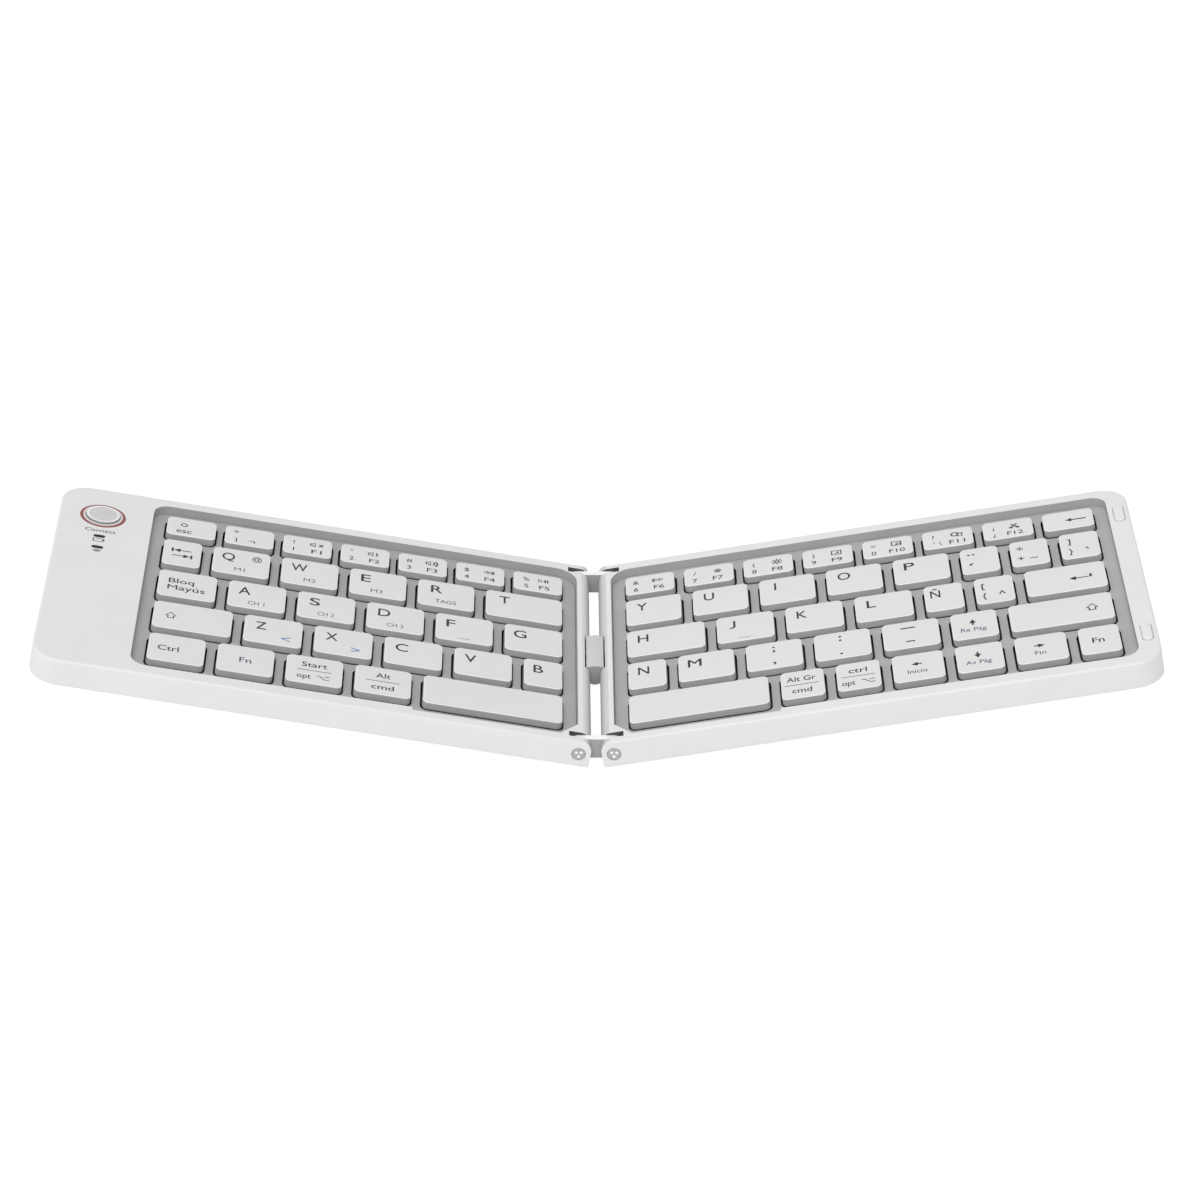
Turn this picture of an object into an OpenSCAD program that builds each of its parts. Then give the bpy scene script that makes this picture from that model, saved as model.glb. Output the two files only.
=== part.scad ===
// A pocket keyboard in two halves, joined by a hinge with two parallel pins.
// Each half is drawn lying flat, with x measured outward from the middle of the hinge,
// y from the middle of the keyboard's depth towards its back, and z up from the underside.
// on_half() then mirrors the left half and folds both halves up about their own pins.

/* [Housing] */
// Length of one half, from the middle of the hinge to its outer end
half_l = 152.75; // [140:0.05:175]
// Depth of the keyboard, front to back
body_d = 97.95; // [90:0.05:115]
// Thickness of one half, without its feet
shell_t = 7.8; // [7.4:0.1:10]
// How far each half is folded up from flat as the keyboard rests
fold_rest = 10.1; // [0:0.1:40]
// Radius of the outer corners, seen from above
corner_r = 8; // [4:0.5:12]
// Rounding of the top edges
edge_r = 0.7; // [0.3:0.1:1.2]
// Rounding of the bottom edges
base_edge_r = 0.4; // [0.2:0.1:0.8]
// Thickness of the side walls
wall = 1.6; // [1.2:0.1:2]
// Thickness of the bottom cover's plate
base_t = 1.2; // [1:0.1:1.6]
// Width of the front rail between the well and the front face
rail_front = 4.4; // [4:0.1:6]
// Width of the back rail between the well and the back face
rail_back = 4.05; // [4:0.05:6]
// Width of the right half's outer rail
rail_outer = 5.9; // [5.6:0.1:9]
// Width of the strip outside the left half's well
strip_w = 26.1; // [24:0.1:32]
// Clearance between pieces that drop into each other
fit = 0.1; // [0.05:0.01:0.15]

/* [Hinge] */
// Distance of each pin from the middle of the hinge
pivot_x = 4.75; // [4.6:0.05:6]
// Height of the pins above the underside
pivot_h = 3.85; // [3.6:0.05:4.2]
// How far the hinge rail reaches past its pin towards the other half
rail_reach = 3.25; // [2.8:0.05:3.6]
// Width of the hinge rail, from its inner face to the well
rail_w = 4; // [3.8:0.1:5]
// Rounding of the hinge rail's upper inner edge
rail_r = 3.1; // [2:0.1:3.4]
// Thickness of the ears that carry the pins
ear_t = 2.3; // [2.1:0.1:2.6]
// Thickness of the two links
link_t = 2.2; // [1.8:0.1:2.3]
// Half the height of a link, and the radius of its ends
link_r = 2.85; // [2.4:0.05:3]
// How far the links sit above the line of the pins
link_rise = 0.3; // [0:0.05:0.4]
// Gap between a link and the pocket that it turns in
link_gap = 0.1; // [0.08:0.01:0.15]
// Radius of the pivot screws' shanks
pin_r = 1; // [0.8:0.05:1.2]
// Radial play of the shanks in the ears
pin_play = 0.05; // [0.02:0.01:0.1]
// Radius of the pivot screws' heads
pin_head_r = 1.85; // [1.5:0.05:2]
// Thickness of the pivot screws' heads
pin_head_t = 0.6; // [0.4:0.05:0.7]
// Radius of the three lobes sunk in each head
pin_lobe_r = 0.42; // [0.3:0.02:0.45]
// Distance of the lobes from the middle of the head
pin_lobe_x = 0.78; // [0.6:0.02:0.9]
// Depth of the recesses for the heads
pin_recess = 1.1; // [1:0.05:1.2]
// Thickness of the spring washers under the heads
washer_t = 0.25; // [0.2:0.01:0.3]

/* [Cable boot] */
// Length of the soft boot round the cable, front to back
boot_l = 17.2; // [15:0.1:22]
// Width of the boot
boot_w = 5; // [4:0.1:5.4]
// Height of the boot
boot_h = 6; // [5:0.1:6.4]
// Radius of the boot's crowned top and bottom
boot_crown_r = 6.5; // [5:0.1:12]
// Thickness of the boot's skin
boot_skin = 0.7; // [0.5:0.1:1]
// How far the boot's middle sits above the line of the pins
boot_rise = 0.55; // [0:0.05:0.8]
// Distance of the boot's middle behind the middle of the keyboard
boot_y = 0.5; // [-2:0.1:2]
// Gap between the boot and the sides of its notches
notch_gap_x = 0.9; // [0.5:0.1:1.2]
// Gap between the boot and the ends of its notches
notch_gap_y = 0.3; // [0.2:0.1:1]
// Width of the flat cable
cable_w = 11; // [8:0.5:13]
// Thickness of the flat cable
cable_t = 0.2; // [0.1:0.05:0.3]

/* [Well and deck] */
// Depth of the deck's top below the rim
deck_drop = 2.5; // [2.4:0.1:2.6]
// Thickness of the deck
deck_t = 1; // [0.8:0.1:1.2]
// Thickness of the tray's skirt under the deck
tray_wall = 0.8; // [0.6:0.1:1]
// Width of the tray's flange under the rim
flange = 1; // [0.8:0.1:1.1]
// Margin between the caps and the well, at its two ends
margin_x = 4.15; // [3.8:0.05:5]
// Margin between the caps and the front of the well
margin_front = 4.45; // [4:0.05:5]
// Margin between the caps and the back of the well
margin_back = 4.65; // [4:0.05:5]
// Corner radius of the well at its outer end
well_r = 4.5; // [3:0.1:5]
// Corner radius of the well at the back of the hinge rail
well_hinge_r = 6; // [5.5:0.1:6.5]
// How far the front edge steps forward along the space bars
space_step = 1.4; // [0.6:0.1:1.6]
// How far that step runs past the space bars
space_step_past = 2.75; // [1.2:0.05:3.2]

/* [Caps] */
// Depth of a cap in the number row
number_cap_d = 10.25; // [8:0.05:12]
// Gap between caps
cap_gap = 3.3; // [2.8:0.1:3.8]
// Side gap between the left half's number caps
left_number_gap = 2.6; // [2.4:0.05:3.4]
// Side gap between the right half's number caps
right_number_gap = 2.85; // [2.4:0.05:3.4]
// Gap in front of the number row
number_row_gap = 3.05; // [2.8:0.05:3.8]
// Slot round each cap in the deck
cap_slot = 0.55; // [0.4:0.05:0.7]
// Corner radius of a cap
cap_r = 1.6; // [1:0.1:2.2]
// Rounding of a cap's top edges
cap_edge_r = 0.3; // [0.2:0.05:0.6]
// Depth of the caps' tops below the rim
cap_drop = 0.4; // [0.3:0.05:0.7]
// Height of a cap
cap_h = 2.7; // [2.6:0.05:2.8]
// Thickness of a cap's side walls
cap_wall = 0.8; // [0.6:0.1:1]
// Thickness of a cap's roof
cap_roof = 1; // [0.8:0.1:1.2]
// How far a cap travels when it is pressed
key_travel = 1.4; // [1:0.1:1.4]
// How far the space bars run forward of the other caps
space_past = 0.3; // [0.1:0.1:0.9]

/* [Under the caps] */
// Thickness of the steel plate
plate_t = 0.4; // [0.3:0.05:0.6]
// Thickness of the switch membrane
membrane_t = 0.3; // [0.2:0.05:0.4]
// Thickness of the dome sheet between its domes
dome_sheet_t = 0.25; // [0.2:0.05:0.3]
// Radius of a dome at its foot
dome_foot_r = 3.2; // [2.6:0.1:3.6]
// Radius of a dome at its crown
dome_top_r = 2.2; // [1.6:0.1:2.5]
// How far the plate reaches past the caps
plate_margin = 2.2; // [1.8:0.1:2.6]

/* [Left strip] */
// Distance of the connect button's middle from the outer end
button_inset = 12.2; // [11:0.05:13]
// Distance of the connect button's middle from the back edge
button_back = 15.8; // [14:0.05:20]
// Radius of the connect button's foot
button_r = 5.65; // [4.5:0.05:5.8]
// Radius of the connect button's raised disc
button_top_r = 4.9; // [3.5:0.1:5]
// How far the connect button stands above the rim
button_proud = 0.7; // [0.4:0.1:0.8]
// How far the connect button travels when it is pressed
button_travel = 0.4; // [0.2:0.05:0.5]
// Width of the coloured ring round the button
ring_w = 0.7; // [0.4:0.1:1]
// Length of an indicator window
lens_l = 3.4; // [2.5:0.1:4]
// Width of an indicator window
lens_w = 1.7; // [1:0.1:2]
// Distance of the first indicator in front of the connect button's middle
lens_front = 11.65; // [9:0.05:14]
// Distance between the two indicators
lens_pitch = 6.3; // [4:0.1:7]
// How far the circuit board reaches past the second indicator
board_past = 5.2; // [2:0.1:7]
// Thickness of the circuit board
board_t = 0.8; // [0.6:0.1:1]
// Height of the circuit board above the bottom cover
board_rise = 0.6; // [0.5:0.1:0.7]
// Thickness of the battery
battery_t = 3.4; // [3:0.1:3.5]
// Room left round the battery's two ends
battery_gap = 3.4; // [1:0.1:6]

/* [Feet, pads and fasteners] */
// Length of a foot
foot_l = 16; // [10:0.5:20]
// Width of a foot
foot_w = 4.4; // [3:0.1:6]
// Distance of the inner feet from the middle of the hinge
foot_inner_x = 24; // [20:0.5:40]
// Distance of the outer feet from the outer end
foot_end = 18; // [14:0.5:30]
// Distance of the feet from the front and back faces
foot_inset = 9; // [7:0.5:14]
// How far a foot stands below the underside
foot_proud = 0.6; // [0.3:0.1:1]
// Depth of a foot's recess
foot_seat = 0.3; // [0.2:0.05:0.5]
// Length of a buffer pad
pad_l = 9.4; // [7:0.1:12]
// Width of a buffer pad
pad_w = 3.2; // [2.4:0.1:3.6]
// How far a buffer pad stands above the rim
pad_proud = 0.75; // [0.4:0.05:0.8]
// Depth of a buffer pad's recess
pad_seat = 0.5; // [0.3:0.1:0.8]
// Distance of the buffer pads from the middle of the depth
pad_y = 33.5; // [28:0.1:36]
// Distance of the buffer pads from the outer end
pad_inset = 2.95; // [2.6:0.05:3.2]
// Radius of a case screw's shank
case_screw_r = 0.6; // [0.4:0.05:0.7]
// Radius of a case screw's head
case_head_r = 1.1; // [0.9:0.05:1.15]
// Distance of the case screws from the middle of the depth
case_screw_y = 30; // [26:0.5:34]
// Length of the magnets, front to back
magnet_l = 12; // [8:0.5:16]
// Distance of the magnets from the middle of the depth
magnet_y = 12; // [10:0.5:20]

/* [Hidden] */
$fn = 48;

LEFT = -1;
RIGHT = 1;
SPACE_ROW = 4;
eps = 0.01;
// How far a cut or a blank runs past what it cuts
over = 1;
// Caps are placed to the nearest hundredth of a millimetre
place_step = 0.01;

// Relative cap widths, row by row from the back, each row from the hinge outward
left_shares = [
    [14, 13.9, 13.9, 13.9, 13.9, 13.9, 13.9],
    [21.7, 16, 16, 16, 16, 10.7],
    [16.2, 16, 16, 16, 16, 16.1],
    [10.7, 16, 16, 16, 16, 21.6],
    [38.1, 15.4, 15.4, 15.4, 15.4]
];
right_shares = [
    [14, 14.1, 14.1, 14.2, 14.2, 14.2, 14.1, 14.2],
    [15.6, 15.6, 15.6, 15.6, 15.6, 10.6, 10.6, 10.8],
    [21.8, 16, 16, 16, 10.7, 10.7, 22.1],
    [10.6, 15.5, 15.5, 15.5, 15.5, 12.6, 28.2],
    [38.1, 11.8, 11.9, 13.9, 12.7, 13.9, 10.9]
];

// Plan
half_d = body_d / 2;
rail_x0 = pivot_x - rail_reach;
well_x0 = rail_x0 + rail_w;
field_x0 = well_x0 + margin_x;
well_y0 = -half_d + rail_front;
well_y1 = half_d - rail_back;
field_y0 = well_y0 + margin_front;
field_y1 = well_y1 - margin_back;
// The letter caps share out what the number row and the gaps leave of the depth
cap_d = (field_y1 - field_y0 - number_cap_d - number_row_gap + cap_gap) / SPACE_ROW - cap_gap;
row_pitch = cap_d + cap_gap;
// The front corner of the well beside the hinge is cut off at a slant
corner_cut = [4.8, 5.9];
// The frame stays solid round the link pockets, this far past the pins and from the end faces
block_past = 4.5;
block_d = 6;
block_x = pivot_x + block_past;

// Heights above the underside
deck_z = shell_t - deck_drop;
cap_z = shell_t - cap_drop;
skirt_z = cap_z - cap_h;
press_clearance = 0.15;
dome_sheet_z = skirt_z - key_travel - press_clearance - dome_sheet_t;
membrane_z = dome_sheet_z - membrane_t;
plate_z = membrane_z - plate_t;
board_z = base_t + board_rise;
board_top = board_z + board_t;

// Hinge
pocket_r = link_r + link_rise + link_gap;
pocket_t = link_t + 2 * link_gap;
link_y = half_d - ear_t - link_gap - link_t;
notch_x = boot_w / 2 + notch_gap_x;
// The cable runs out of the membrane, so it lies this far below the line of the pins
cable_drop = pivot_h - membrane_z - membrane_t / 2;
cable_play = 1;
cable_slot_l = cable_w + 2 * cable_play;
cable_slot_h = 1.2;
boot_mouth_h = 0.8;
foot_x = [foot_inner_x, half_l - foot_end];
foot_y = half_d - foot_inset;
// The pins are as high as the lowest point of either half needs
corner_low = rail_reach * sin(fold_rest) + pivot_h * cos(fold_rest);
foot_low = (pivot_h + foot_proud) * cos(fold_rest) - (foot_x[0] - foot_l / 2 - pivot_x) * sin(fold_rest);
pivot_z = max(corner_low, foot_low);

// Left strip
button_x = half_l - button_inset;
button_y = half_d - button_back;
button_step = 0.2;
button_stem_r = 1.2;
button_skirt_t = 0.4;
button_skirt_r = button_r + ring_w;
lens_y = button_y - lens_front;
lens_base = 0.6;
ring_r = button_r + fit + ring_w;
switch_w = 4.5;
switch_t = 1.2;
switch_cap_r = 1.1;
switch_cap_t = 0.25;
stem_play = 0.05;
button_stem_z = board_top + switch_t + switch_cap_t + button_travel + stem_play;
socket_w = 7.4;
socket_h = 2.2;
socket_l = 5.4;
socket_wall = 0.3;
socket_gap = 0.3;

// Fasteners
boss_r = 1.3;
boss_gap = 0.5;
outer_boss_x = half_l - wall - boss_r - boss_gap;
inner_post_x = well_x0 + fit + tray_wall + boss_r;
plate_x0 = inner_post_x + boss_r + fit;
case_head_t = 0.5;
case_recess = 0.6;
case_screw_top = deck_z - deck_t;
magnet_size = [2.2, magnet_l, 1.7];

// The circuit board and the battery fill the strip between the tray and the outer bosses
strip_gap = 1.2;
board_x0 = well_x1(LEFT) + flange + strip_gap;
board_w = outer_boss_x - boss_r - strip_gap - board_x0;
board_y0 = lens_y - lens_pitch - board_past;
board_gap = 0.5;
board_l = half_d - wall - board_gap - board_y0;
board_post_in = 2.2;
chip_size = [5, 5, 0.9];
lamp_size = [1.6, 0.8, 0.6];
battery_w = board_w - 2 * fit;
battery_y0 = -half_d + wall + battery_gap;
battery_l = board_y0 - battery_gap - battery_y0;
lead_r = 0.5;
lead_spread = 2;
lead_overlap = 3;
socket_x = board_x0 + socket_w / 2 + strip_gap;

SHELL_WHITE = [0.89, 0.89, 0.89];
DECK_GREY = [0.64, 0.64, 0.64];
CAP_WHITE = [0.87, 0.87, 0.87];
STEEL = [0.72, 0.73, 0.75];
RUBBER_GREY = [0.3, 0.3, 0.3];

// ---------- Placing and shared shapes ----------

module on_half(side) {
    translate([side * pivot_x, 0, pivot_z])
        rotate([0, -side * fold_rest, 0])
            mirror([side == LEFT ? 1 : 0, 0, 0])
                translate([-pivot_x, 0, -pivot_h])
                    children();
}

function rows(side) = side == LEFT ? left_shares : right_shares;
function field_l(side) = well_x1(side) - margin_x - field_x0;
function sum(list, count) = count == 0 ? 0 : list[count - 1] + sum(list, count - 1);
function row_gap(side, row) = row > 0 ? cap_gap : side == LEFT ? left_number_gap : right_number_gap;
// How far a cap runs forward of its row
function cap_past(row, i) = row == SPACE_ROW && i == 0 ? space_past : 0;
function cap_depth(row, i) = row == 0 ? number_cap_d : cap_d + cap_past(row, i);
function cap_y(row, i) = row == 0 ? field_y1 - number_cap_d : field_y0 + (SPACE_ROW - row) * row_pitch - cap_past(row, i);
function placed(x) = round(x / place_step) * place_step;
// The caps of a row share out what the gaps leave of its length
function row_scale(side, row) = let (w = rows(side)[row])
    (field_l(side) - (len(w) - 1) * row_gap(side, row)) / sum(w, len(w));
function cap_w(side, row, i) = placed(rows(side)[row][i] * row_scale(side, row));
function cap_x(side, row, i) = placed(field_x0 + i * row_gap(side, row)
    + sum(rows(side)[row], i) * row_scale(side, row));
function well_x1(side) = half_l - (side == LEFT ? strip_w : rail_outer);

module along_y(l) {
    rotate([90, 0, 0]) linear_extrude(l, center = true) children();
}

// A round bar that lies along y
module rod(r, l) {
    rotate([90, 0, 0]) cylinder(r = r, h = l, center = true);
}

module rounded_rect(w, d, r) {
    translate([r, 0]) square([w - 2 * r, d]);
    translate([0, r]) square([w, d - 2 * r]);
    for (x = [r, w - r], y = [r, d - r]) translate([x, y]) circle(r);
}

module pill(l, w) {
    square([w, l - w], center = true);
    for (s = [-1, 1]) translate([0, s * (l - w) / 2]) circle(w / 2);
}

// The waste outside a rounded corner, with the corner at the origin
module corner_waste(r) {
    difference() {
        translate([-eps, -eps]) square(r + eps);
        translate([r, r]) circle(r);
    }
}

// Half a slab's section, from its middle out to a rounded top and bottom edge
module edge_section(reach, h, top_r, base_r) {
    square([reach - top_r, h]);
    translate([0, base_r]) square([reach, h - top_r - base_r]);
    square([reach - base_r, h / 2]);
    translate([reach - top_r, h - top_r]) circle(top_r);
    if (base_r > 0) translate([reach - base_r, base_r]) circle(base_r);
}

module slab_section(w, h, top_r, base_r) {
    for (side = [0, 1]) mirror([side, 0]) edge_section(w / 2, h, top_r, base_r);
}

// A slab with rounded corners whose upper and lower edges are rounded all the way round
module soft_slab(w, d, h, r, top_r, base_r) {
    for (x = [r, w - r], y = [r, d - r])
        translate([x, y, 0]) rotate_extrude() edge_section(r, h, top_r, base_r);
    translate([w / 2, d / 2, 0]) {
        along_y(d - 2 * r) slab_section(w, h, top_r, base_r);
        rotate([0, 0, 90]) along_y(w - 2 * r) slab_section(d, h, top_r, base_r);
    }
}

// ---------- Housing ----------

module well_outline(side, grow) {
    x0 = well_x0 - grow;
    x1 = well_x1(side) + grow;
    y0 = well_y0 - grow;
    y1 = well_y1 + grow;
    // A slanted cut keeps its distance when the outline grows
    cut = corner_cut + (2 - sqrt(2)) * grow * [1, 1];
    step_x1 = field_x0 + cap_w(side, SPACE_ROW, 0) + space_step_past + grow;
    difference() {
        union() {
            translate([x0, y0]) square([x1 - x0, y1 - y0]);
            translate([x0, y0 - space_step]) square([step_x1 - x0, space_step + over]);
        }
        translate([x0, y1]) mirror([0, 1]) corner_waste(well_hinge_r + grow);
        translate([x1, y0]) mirror([1, 0]) corner_waste(well_r + grow);
        translate([x1, y1]) mirror([1, 0]) mirror([0, 1]) corner_waste(well_r + grow);
        translate([x0, y0 - space_step])
            polygon([[-over, -over], [cut.x, -over], [cut.x, 0], [0, cut.y], [-over, cut.y]]);
    }
}

// The hollow inside the side walls, less the solid blocks at the two ends of the hinge
module inside_outline(gap) {
    r = corner_r - wall - gap;
    x1 = half_l - wall - gap;
    y1 = half_d - wall - gap;
    difference() {
        translate([well_x0 + gap, -y1]) square([x1 - well_x0 - gap, 2 * y1]);
        for (s = [-1, 1]) translate([x1, s * y1]) mirror([1, 0]) mirror([0, s > 0 ? 1 : 0]) corner_waste(r);
        for (s = [-1, 1]) translate([0, s * (half_d - (block_d + gap) / 2)])
            square([2 * (block_x + gap), block_d + gap], center = true);
    }
}

// One half's outer form: a soft slab, longer than needed, cut off at the rounded hinge rail
module shell_blank() {
    intersection() {
        translate([rail_x0 - corner_r, -half_d, 0])
            soft_slab(half_l - rail_x0 + corner_r, body_d, shell_t, corner_r, edge_r, base_edge_r);
        along_y(body_d + over) difference() {
            translate([rail_x0, 0]) square([half_l, shell_t]);
            translate([rail_x0, shell_t]) mirror([0, 1]) corner_waste(rail_r);
        }
    }
}

// The space that a link sweeps, from lying level to standing up between the closed halves
module link_pocket() {
    floor_z = pivot_h - link_r + link_rise - link_gap;
    for (s = [-1, 1]) translate([0, s * (half_d - ear_t - pocket_t / 2), 0]) along_y(pocket_t) {
        translate([pivot_x, pivot_h]) circle(pocket_r);
        translate([0, pivot_h]) square([pivot_x + pocket_r, shell_t]);
        translate([0, floor_z]) square([pivot_x, shell_t]);
    }
}

module pivot_holes() {
    for (s = [-1, 1]) {
        translate([pivot_x, s * (half_d - ear_t / 2), pivot_h]) rod(pin_r + pin_play, ear_t + over);
        translate([pivot_x, s * half_d, pivot_h]) rod(pin_head_r + fit, 2 * pin_recess);
    }
}

module cable_notch() {
    notch_l = boot_l + 2 * notch_gap_y;
    translate([0, boot_y - notch_l / 2, -over]) cube([notch_x, notch_l, shell_t + 2 * over]);
    translate([0, boot_y - cable_slot_l / 2, pivot_h - cable_drop - cable_slot_h / 2])
        cube([well_x0 + over, cable_slot_l, cable_slot_h]);
}

module at_outer_bosses() {
    for (s = [-1, 1]) translate([outer_boss_x, s * case_screw_y, 0]) children();
}

module at_inner_posts() {
    for (s = [-1, 1]) translate([inner_post_x, s * case_screw_y, 0]) children();
}

module top_frame(side) {
    difference() {
        union() {
            difference() {
                shell_blank();
                translate([0, 0, -over]) linear_extrude(deck_z + over) inside_outline(0);
            }
            at_outer_bosses() translate([0, 0, base_t + fit]) cylinder(r = boss_r, h = deck_z - base_t);
        }
        translate([0, 0, deck_z - deck_t - fit]) linear_extrude(shell_t) well_outline(side, 0);
        link_pocket();
        pivot_holes();
        cable_notch();
        at_outer_bosses() cylinder(r = case_screw_r, h = case_screw_top);
        if (side == LEFT) left_frame_cuts();
        if (side == RIGHT) at_pads() linear_extrude(pad_seat + over) pill(pad_l, pad_w);
    }
}

module left_frame_cuts() {
    translate([button_x, button_y, 0]) cylinder(r = ring_r, h = shell_t + over);
    at_lenses() linear_extrude(shell_t + over) rotate(90) pill(lens_l, lens_w);
    translate([socket_x, half_d, board_top + socket_h / 2])
        cube([socket_w + 2 * socket_gap, 4 * wall, socket_h + 2 * socket_gap], center = true);
}

module at_pads() {
    for (s = [-1, 1]) translate([half_l - pad_inset, s * pad_y, shell_t - pad_seat]) children();
}

module at_lenses() {
    for (i = [0, 1]) translate([button_x, lens_y - i * lens_pitch, 0]) children();
}

module bottom_cover(side) {
    rib_t = 1;
    rib_in = 2;
    rib_places = [0.2, 0.5, 0.8];
    difference() {
        union() {
            linear_extrude(base_t) inside_outline(fit);
            for (x = rib_places) translate([field_x0 + x * field_l(side), field_y0 + rib_in, 0])
                cube([rib_t, field_y1 - field_y0 - 2 * rib_in, plate_z]);
            at_inner_posts() cylinder(r = boss_r, h = plate_z);
            if (side == LEFT) board_posts();
        }
        at_case_screws() translate([0, 0, -over]) cylinder(r = case_screw_r + fit, h = shell_t);
        at_case_screws() translate([0, 0, -over]) cylinder(r = case_head_r + fit, h = case_recess + over);
        at_feet() translate([0, 0, -over]) linear_extrude(foot_seat + over) rotate(90) pill(foot_l, foot_w);
    }
}

module board_posts() {
    for (x = [board_post_in, board_w - board_post_in], y = [board_post_in, board_l - board_post_in])
        translate([board_x0 + x, board_y0 + y, 0]) cylinder(r = boss_r, h = board_z);
}

module at_case_screws() {
    at_outer_bosses() children();
    at_inner_posts() children();
}

module at_feet() {
    for (x = foot_x, s = [-1, 1]) translate([x, s * foot_y, 0]) children();
}

module feet() {
    at_feet() translate([0, 0, -foot_proud]) linear_extrude(foot_proud + foot_seat) rotate(90) pill(foot_l, foot_w);
}

module case_screws() {
    drive = [1.4 * case_head_r, 0.3 * case_head_r, case_head_t];
    at_case_screws() translate([0, 0, case_recess - case_head_t]) {
        difference() {
            cylinder(r = case_head_r, h = case_head_t);
            for (a = [0, 90]) rotate(a) cube(drive, center = true);
        }
        cylinder(r = case_screw_r, h = case_screw_top - case_recess + case_head_t);
    }
}

module magnets() {
    for (s = [-1, 1]) translate([outer_boss_x, s * magnet_y, deck_z - magnet_size.z / 2])
        cube(magnet_size, center = true);
}

// ---------- Key field ----------

module each_cap(side) {
    for (row = [0:SPACE_ROW], i = [0:len(rows(side)[row]) - 1])
        translate([cap_x(side, row, i), cap_y(row, i)]) {
            $cap_w = cap_w(side, row, i);
            $cap_d = cap_depth(row, i);
            children();
        }
}

module key_tray(side) {
    difference() {
        union() {
            translate([0, 0, deck_z - deck_t]) {
                linear_extrude(deck_t) well_outline(side, -fit);
                linear_extrude(deck_t - fit) intersection() {
                    well_outline(side, flange);
                    inside_outline(2 * fit);
                }
            }
            translate([0, 0, plate_z]) linear_extrude(deck_z - deck_t - plate_z) plate_outline(side, tray_wall + fit);
            at_inner_posts() translate([0, 0, plate_z + fit]) cylinder(r = boss_r, h = deck_z - deck_t - plate_z);
        }
        translate([0, 0, plate_z - over]) linear_extrude(deck_z - deck_t - plate_z + over) plate_outline(side, fit);
        linear_extrude(shell_t) each_cap(side) translate([-cap_slot, -cap_slot])
            rounded_rect($cap_w + 2 * cap_slot, $cap_d + 2 * cap_slot, cap_r + cap_slot);
        at_inner_posts() cylinder(r = case_screw_r, h = case_screw_top);
    }
}

// The plate's outline grows on three sides: beside the hinge the tray's skirt is left open
module plate_outline(side, grow) {
    reach = plate_margin + grow;
    x0 = plate_x0 - min(grow, 0);
    translate([x0, field_y0 - reach - space_past])
        square([field_x0 + field_l(side) + reach - x0, field_y1 - field_y0 + 2 * reach + space_past]);
}

module steel_plate(side) {
    translate([0, 0, plate_z]) linear_extrude(plate_t) plate_outline(side, 0);
}

module membrane(side) {
    translate([0, 0, membrane_z]) linear_extrude(membrane_t) plate_outline(side, 0);
}

module domes(side) {
    translate([0, 0, dome_sheet_z]) {
        linear_extrude(dome_sheet_t) plate_outline(side, -fit);
        each_cap(side) translate([$cap_w / 2, $cap_d / 2, 0])
            cylinder(r1 = dome_foot_r, r2 = dome_top_r, h = cap_z - cap_roof - dome_sheet_z);
    }
}

module cap(w, d) {
    difference() {
        soft_slab(w, d, cap_h, cap_r, cap_edge_r, 0);
        translate([cap_wall, cap_wall, -over])
            cube([w - 2 * cap_wall, d - 2 * cap_wall, cap_h - cap_roof + over]);
    }
}

// The caps of one row from the one numbered first to the one numbered last
module caps(side, row, first, last) {
    color(CAP_WHITE) on_half(side)
        for (i = [first:last])
            translate([cap_x(side, row, i), cap_y(row, i), skirt_z]) cap(cap_w(side, row, i), cap_depth(row, i));
}

// ---------- Hinge pieces, drawn where they stand ----------

module link(s) {
    color(DECK_GREY) difference() {
        translate([0, s * (link_y + link_t / 2), pivot_z + link_rise]) along_y(link_t) {
            square([2 * pivot_x, 2 * link_r], center = true);
            for (x = [-pivot_x, pivot_x]) translate([x, 0]) circle(link_r);
        }
        for (x = [-pivot_x, pivot_x])
            translate([x, s * (link_y + link_t / 2), pivot_z]) rod(pin_r, link_t + over);
    }
}

module front_link() { link(-1); }

module rear_link() { link(1); }

module at_pins() {
    for (x = [-pivot_x, pivot_x], s = [-1, 1])
        translate([x, 0, pivot_z]) mirror([0, s > 0 ? 1 : 0, 0]) translate([0, -half_d, 0]) rotate([-90, 0, 0])
            children();
}

module pivot_screws() {
    head_z = pin_recess - washer_t - 2 * pin_play - pin_head_t;
    color(STEEL) at_pins() translate([0, 0, head_z]) {
        difference() {
            cylinder(r = pin_head_r, h = pin_head_t);
            for (a = [90, 210, 330]) rotate(a) translate([pin_lobe_x, 0, -over])
                cylinder(r = pin_lobe_r, h = over + pin_head_t / 2);
        }
        translate([0, 0, pin_head_t / 2]) cylinder(r = pin_r, h = half_d - link_y - head_z - pin_head_t / 2);
    }
}

module spring_washers() {
    color(STEEL) at_pins() translate([0, 0, pin_recess - washer_t - pin_play]) difference() {
        cylinder(r = pin_head_r - fit, h = washer_t);
        translate([0, 0, -over]) cylinder(r = pin_r + pin_play, h = washer_t + 2 * over);
    }
}

// The boot's section: a crowned top on a round underside
module boot_section(inset) {
    w = boot_w - 2 * inset;
    h = boot_h - 2 * inset;
    intersection() {
        union() {
            translate([-w / 2, (w - h) / 2]) square([w, h]);
            translate([0, (w - h) / 2]) circle(w / 2);
        }
        translate([0, h / 2 - boot_crown_r]) circle(boot_crown_r);
    }
}

module cable_boot() {
    color(SHELL_WHITE) translate([0, boot_y, pivot_z + boot_rise]) difference() {
        along_y(boot_l) boot_section(0);
        along_y(boot_l - 2 * boot_skin) boot_section(boot_skin);
        translate([0, 0, -boot_rise - cable_drop]) cube([boot_w + over, cable_w + cable_play, boot_mouth_h], center = true);
    }
}

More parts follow.
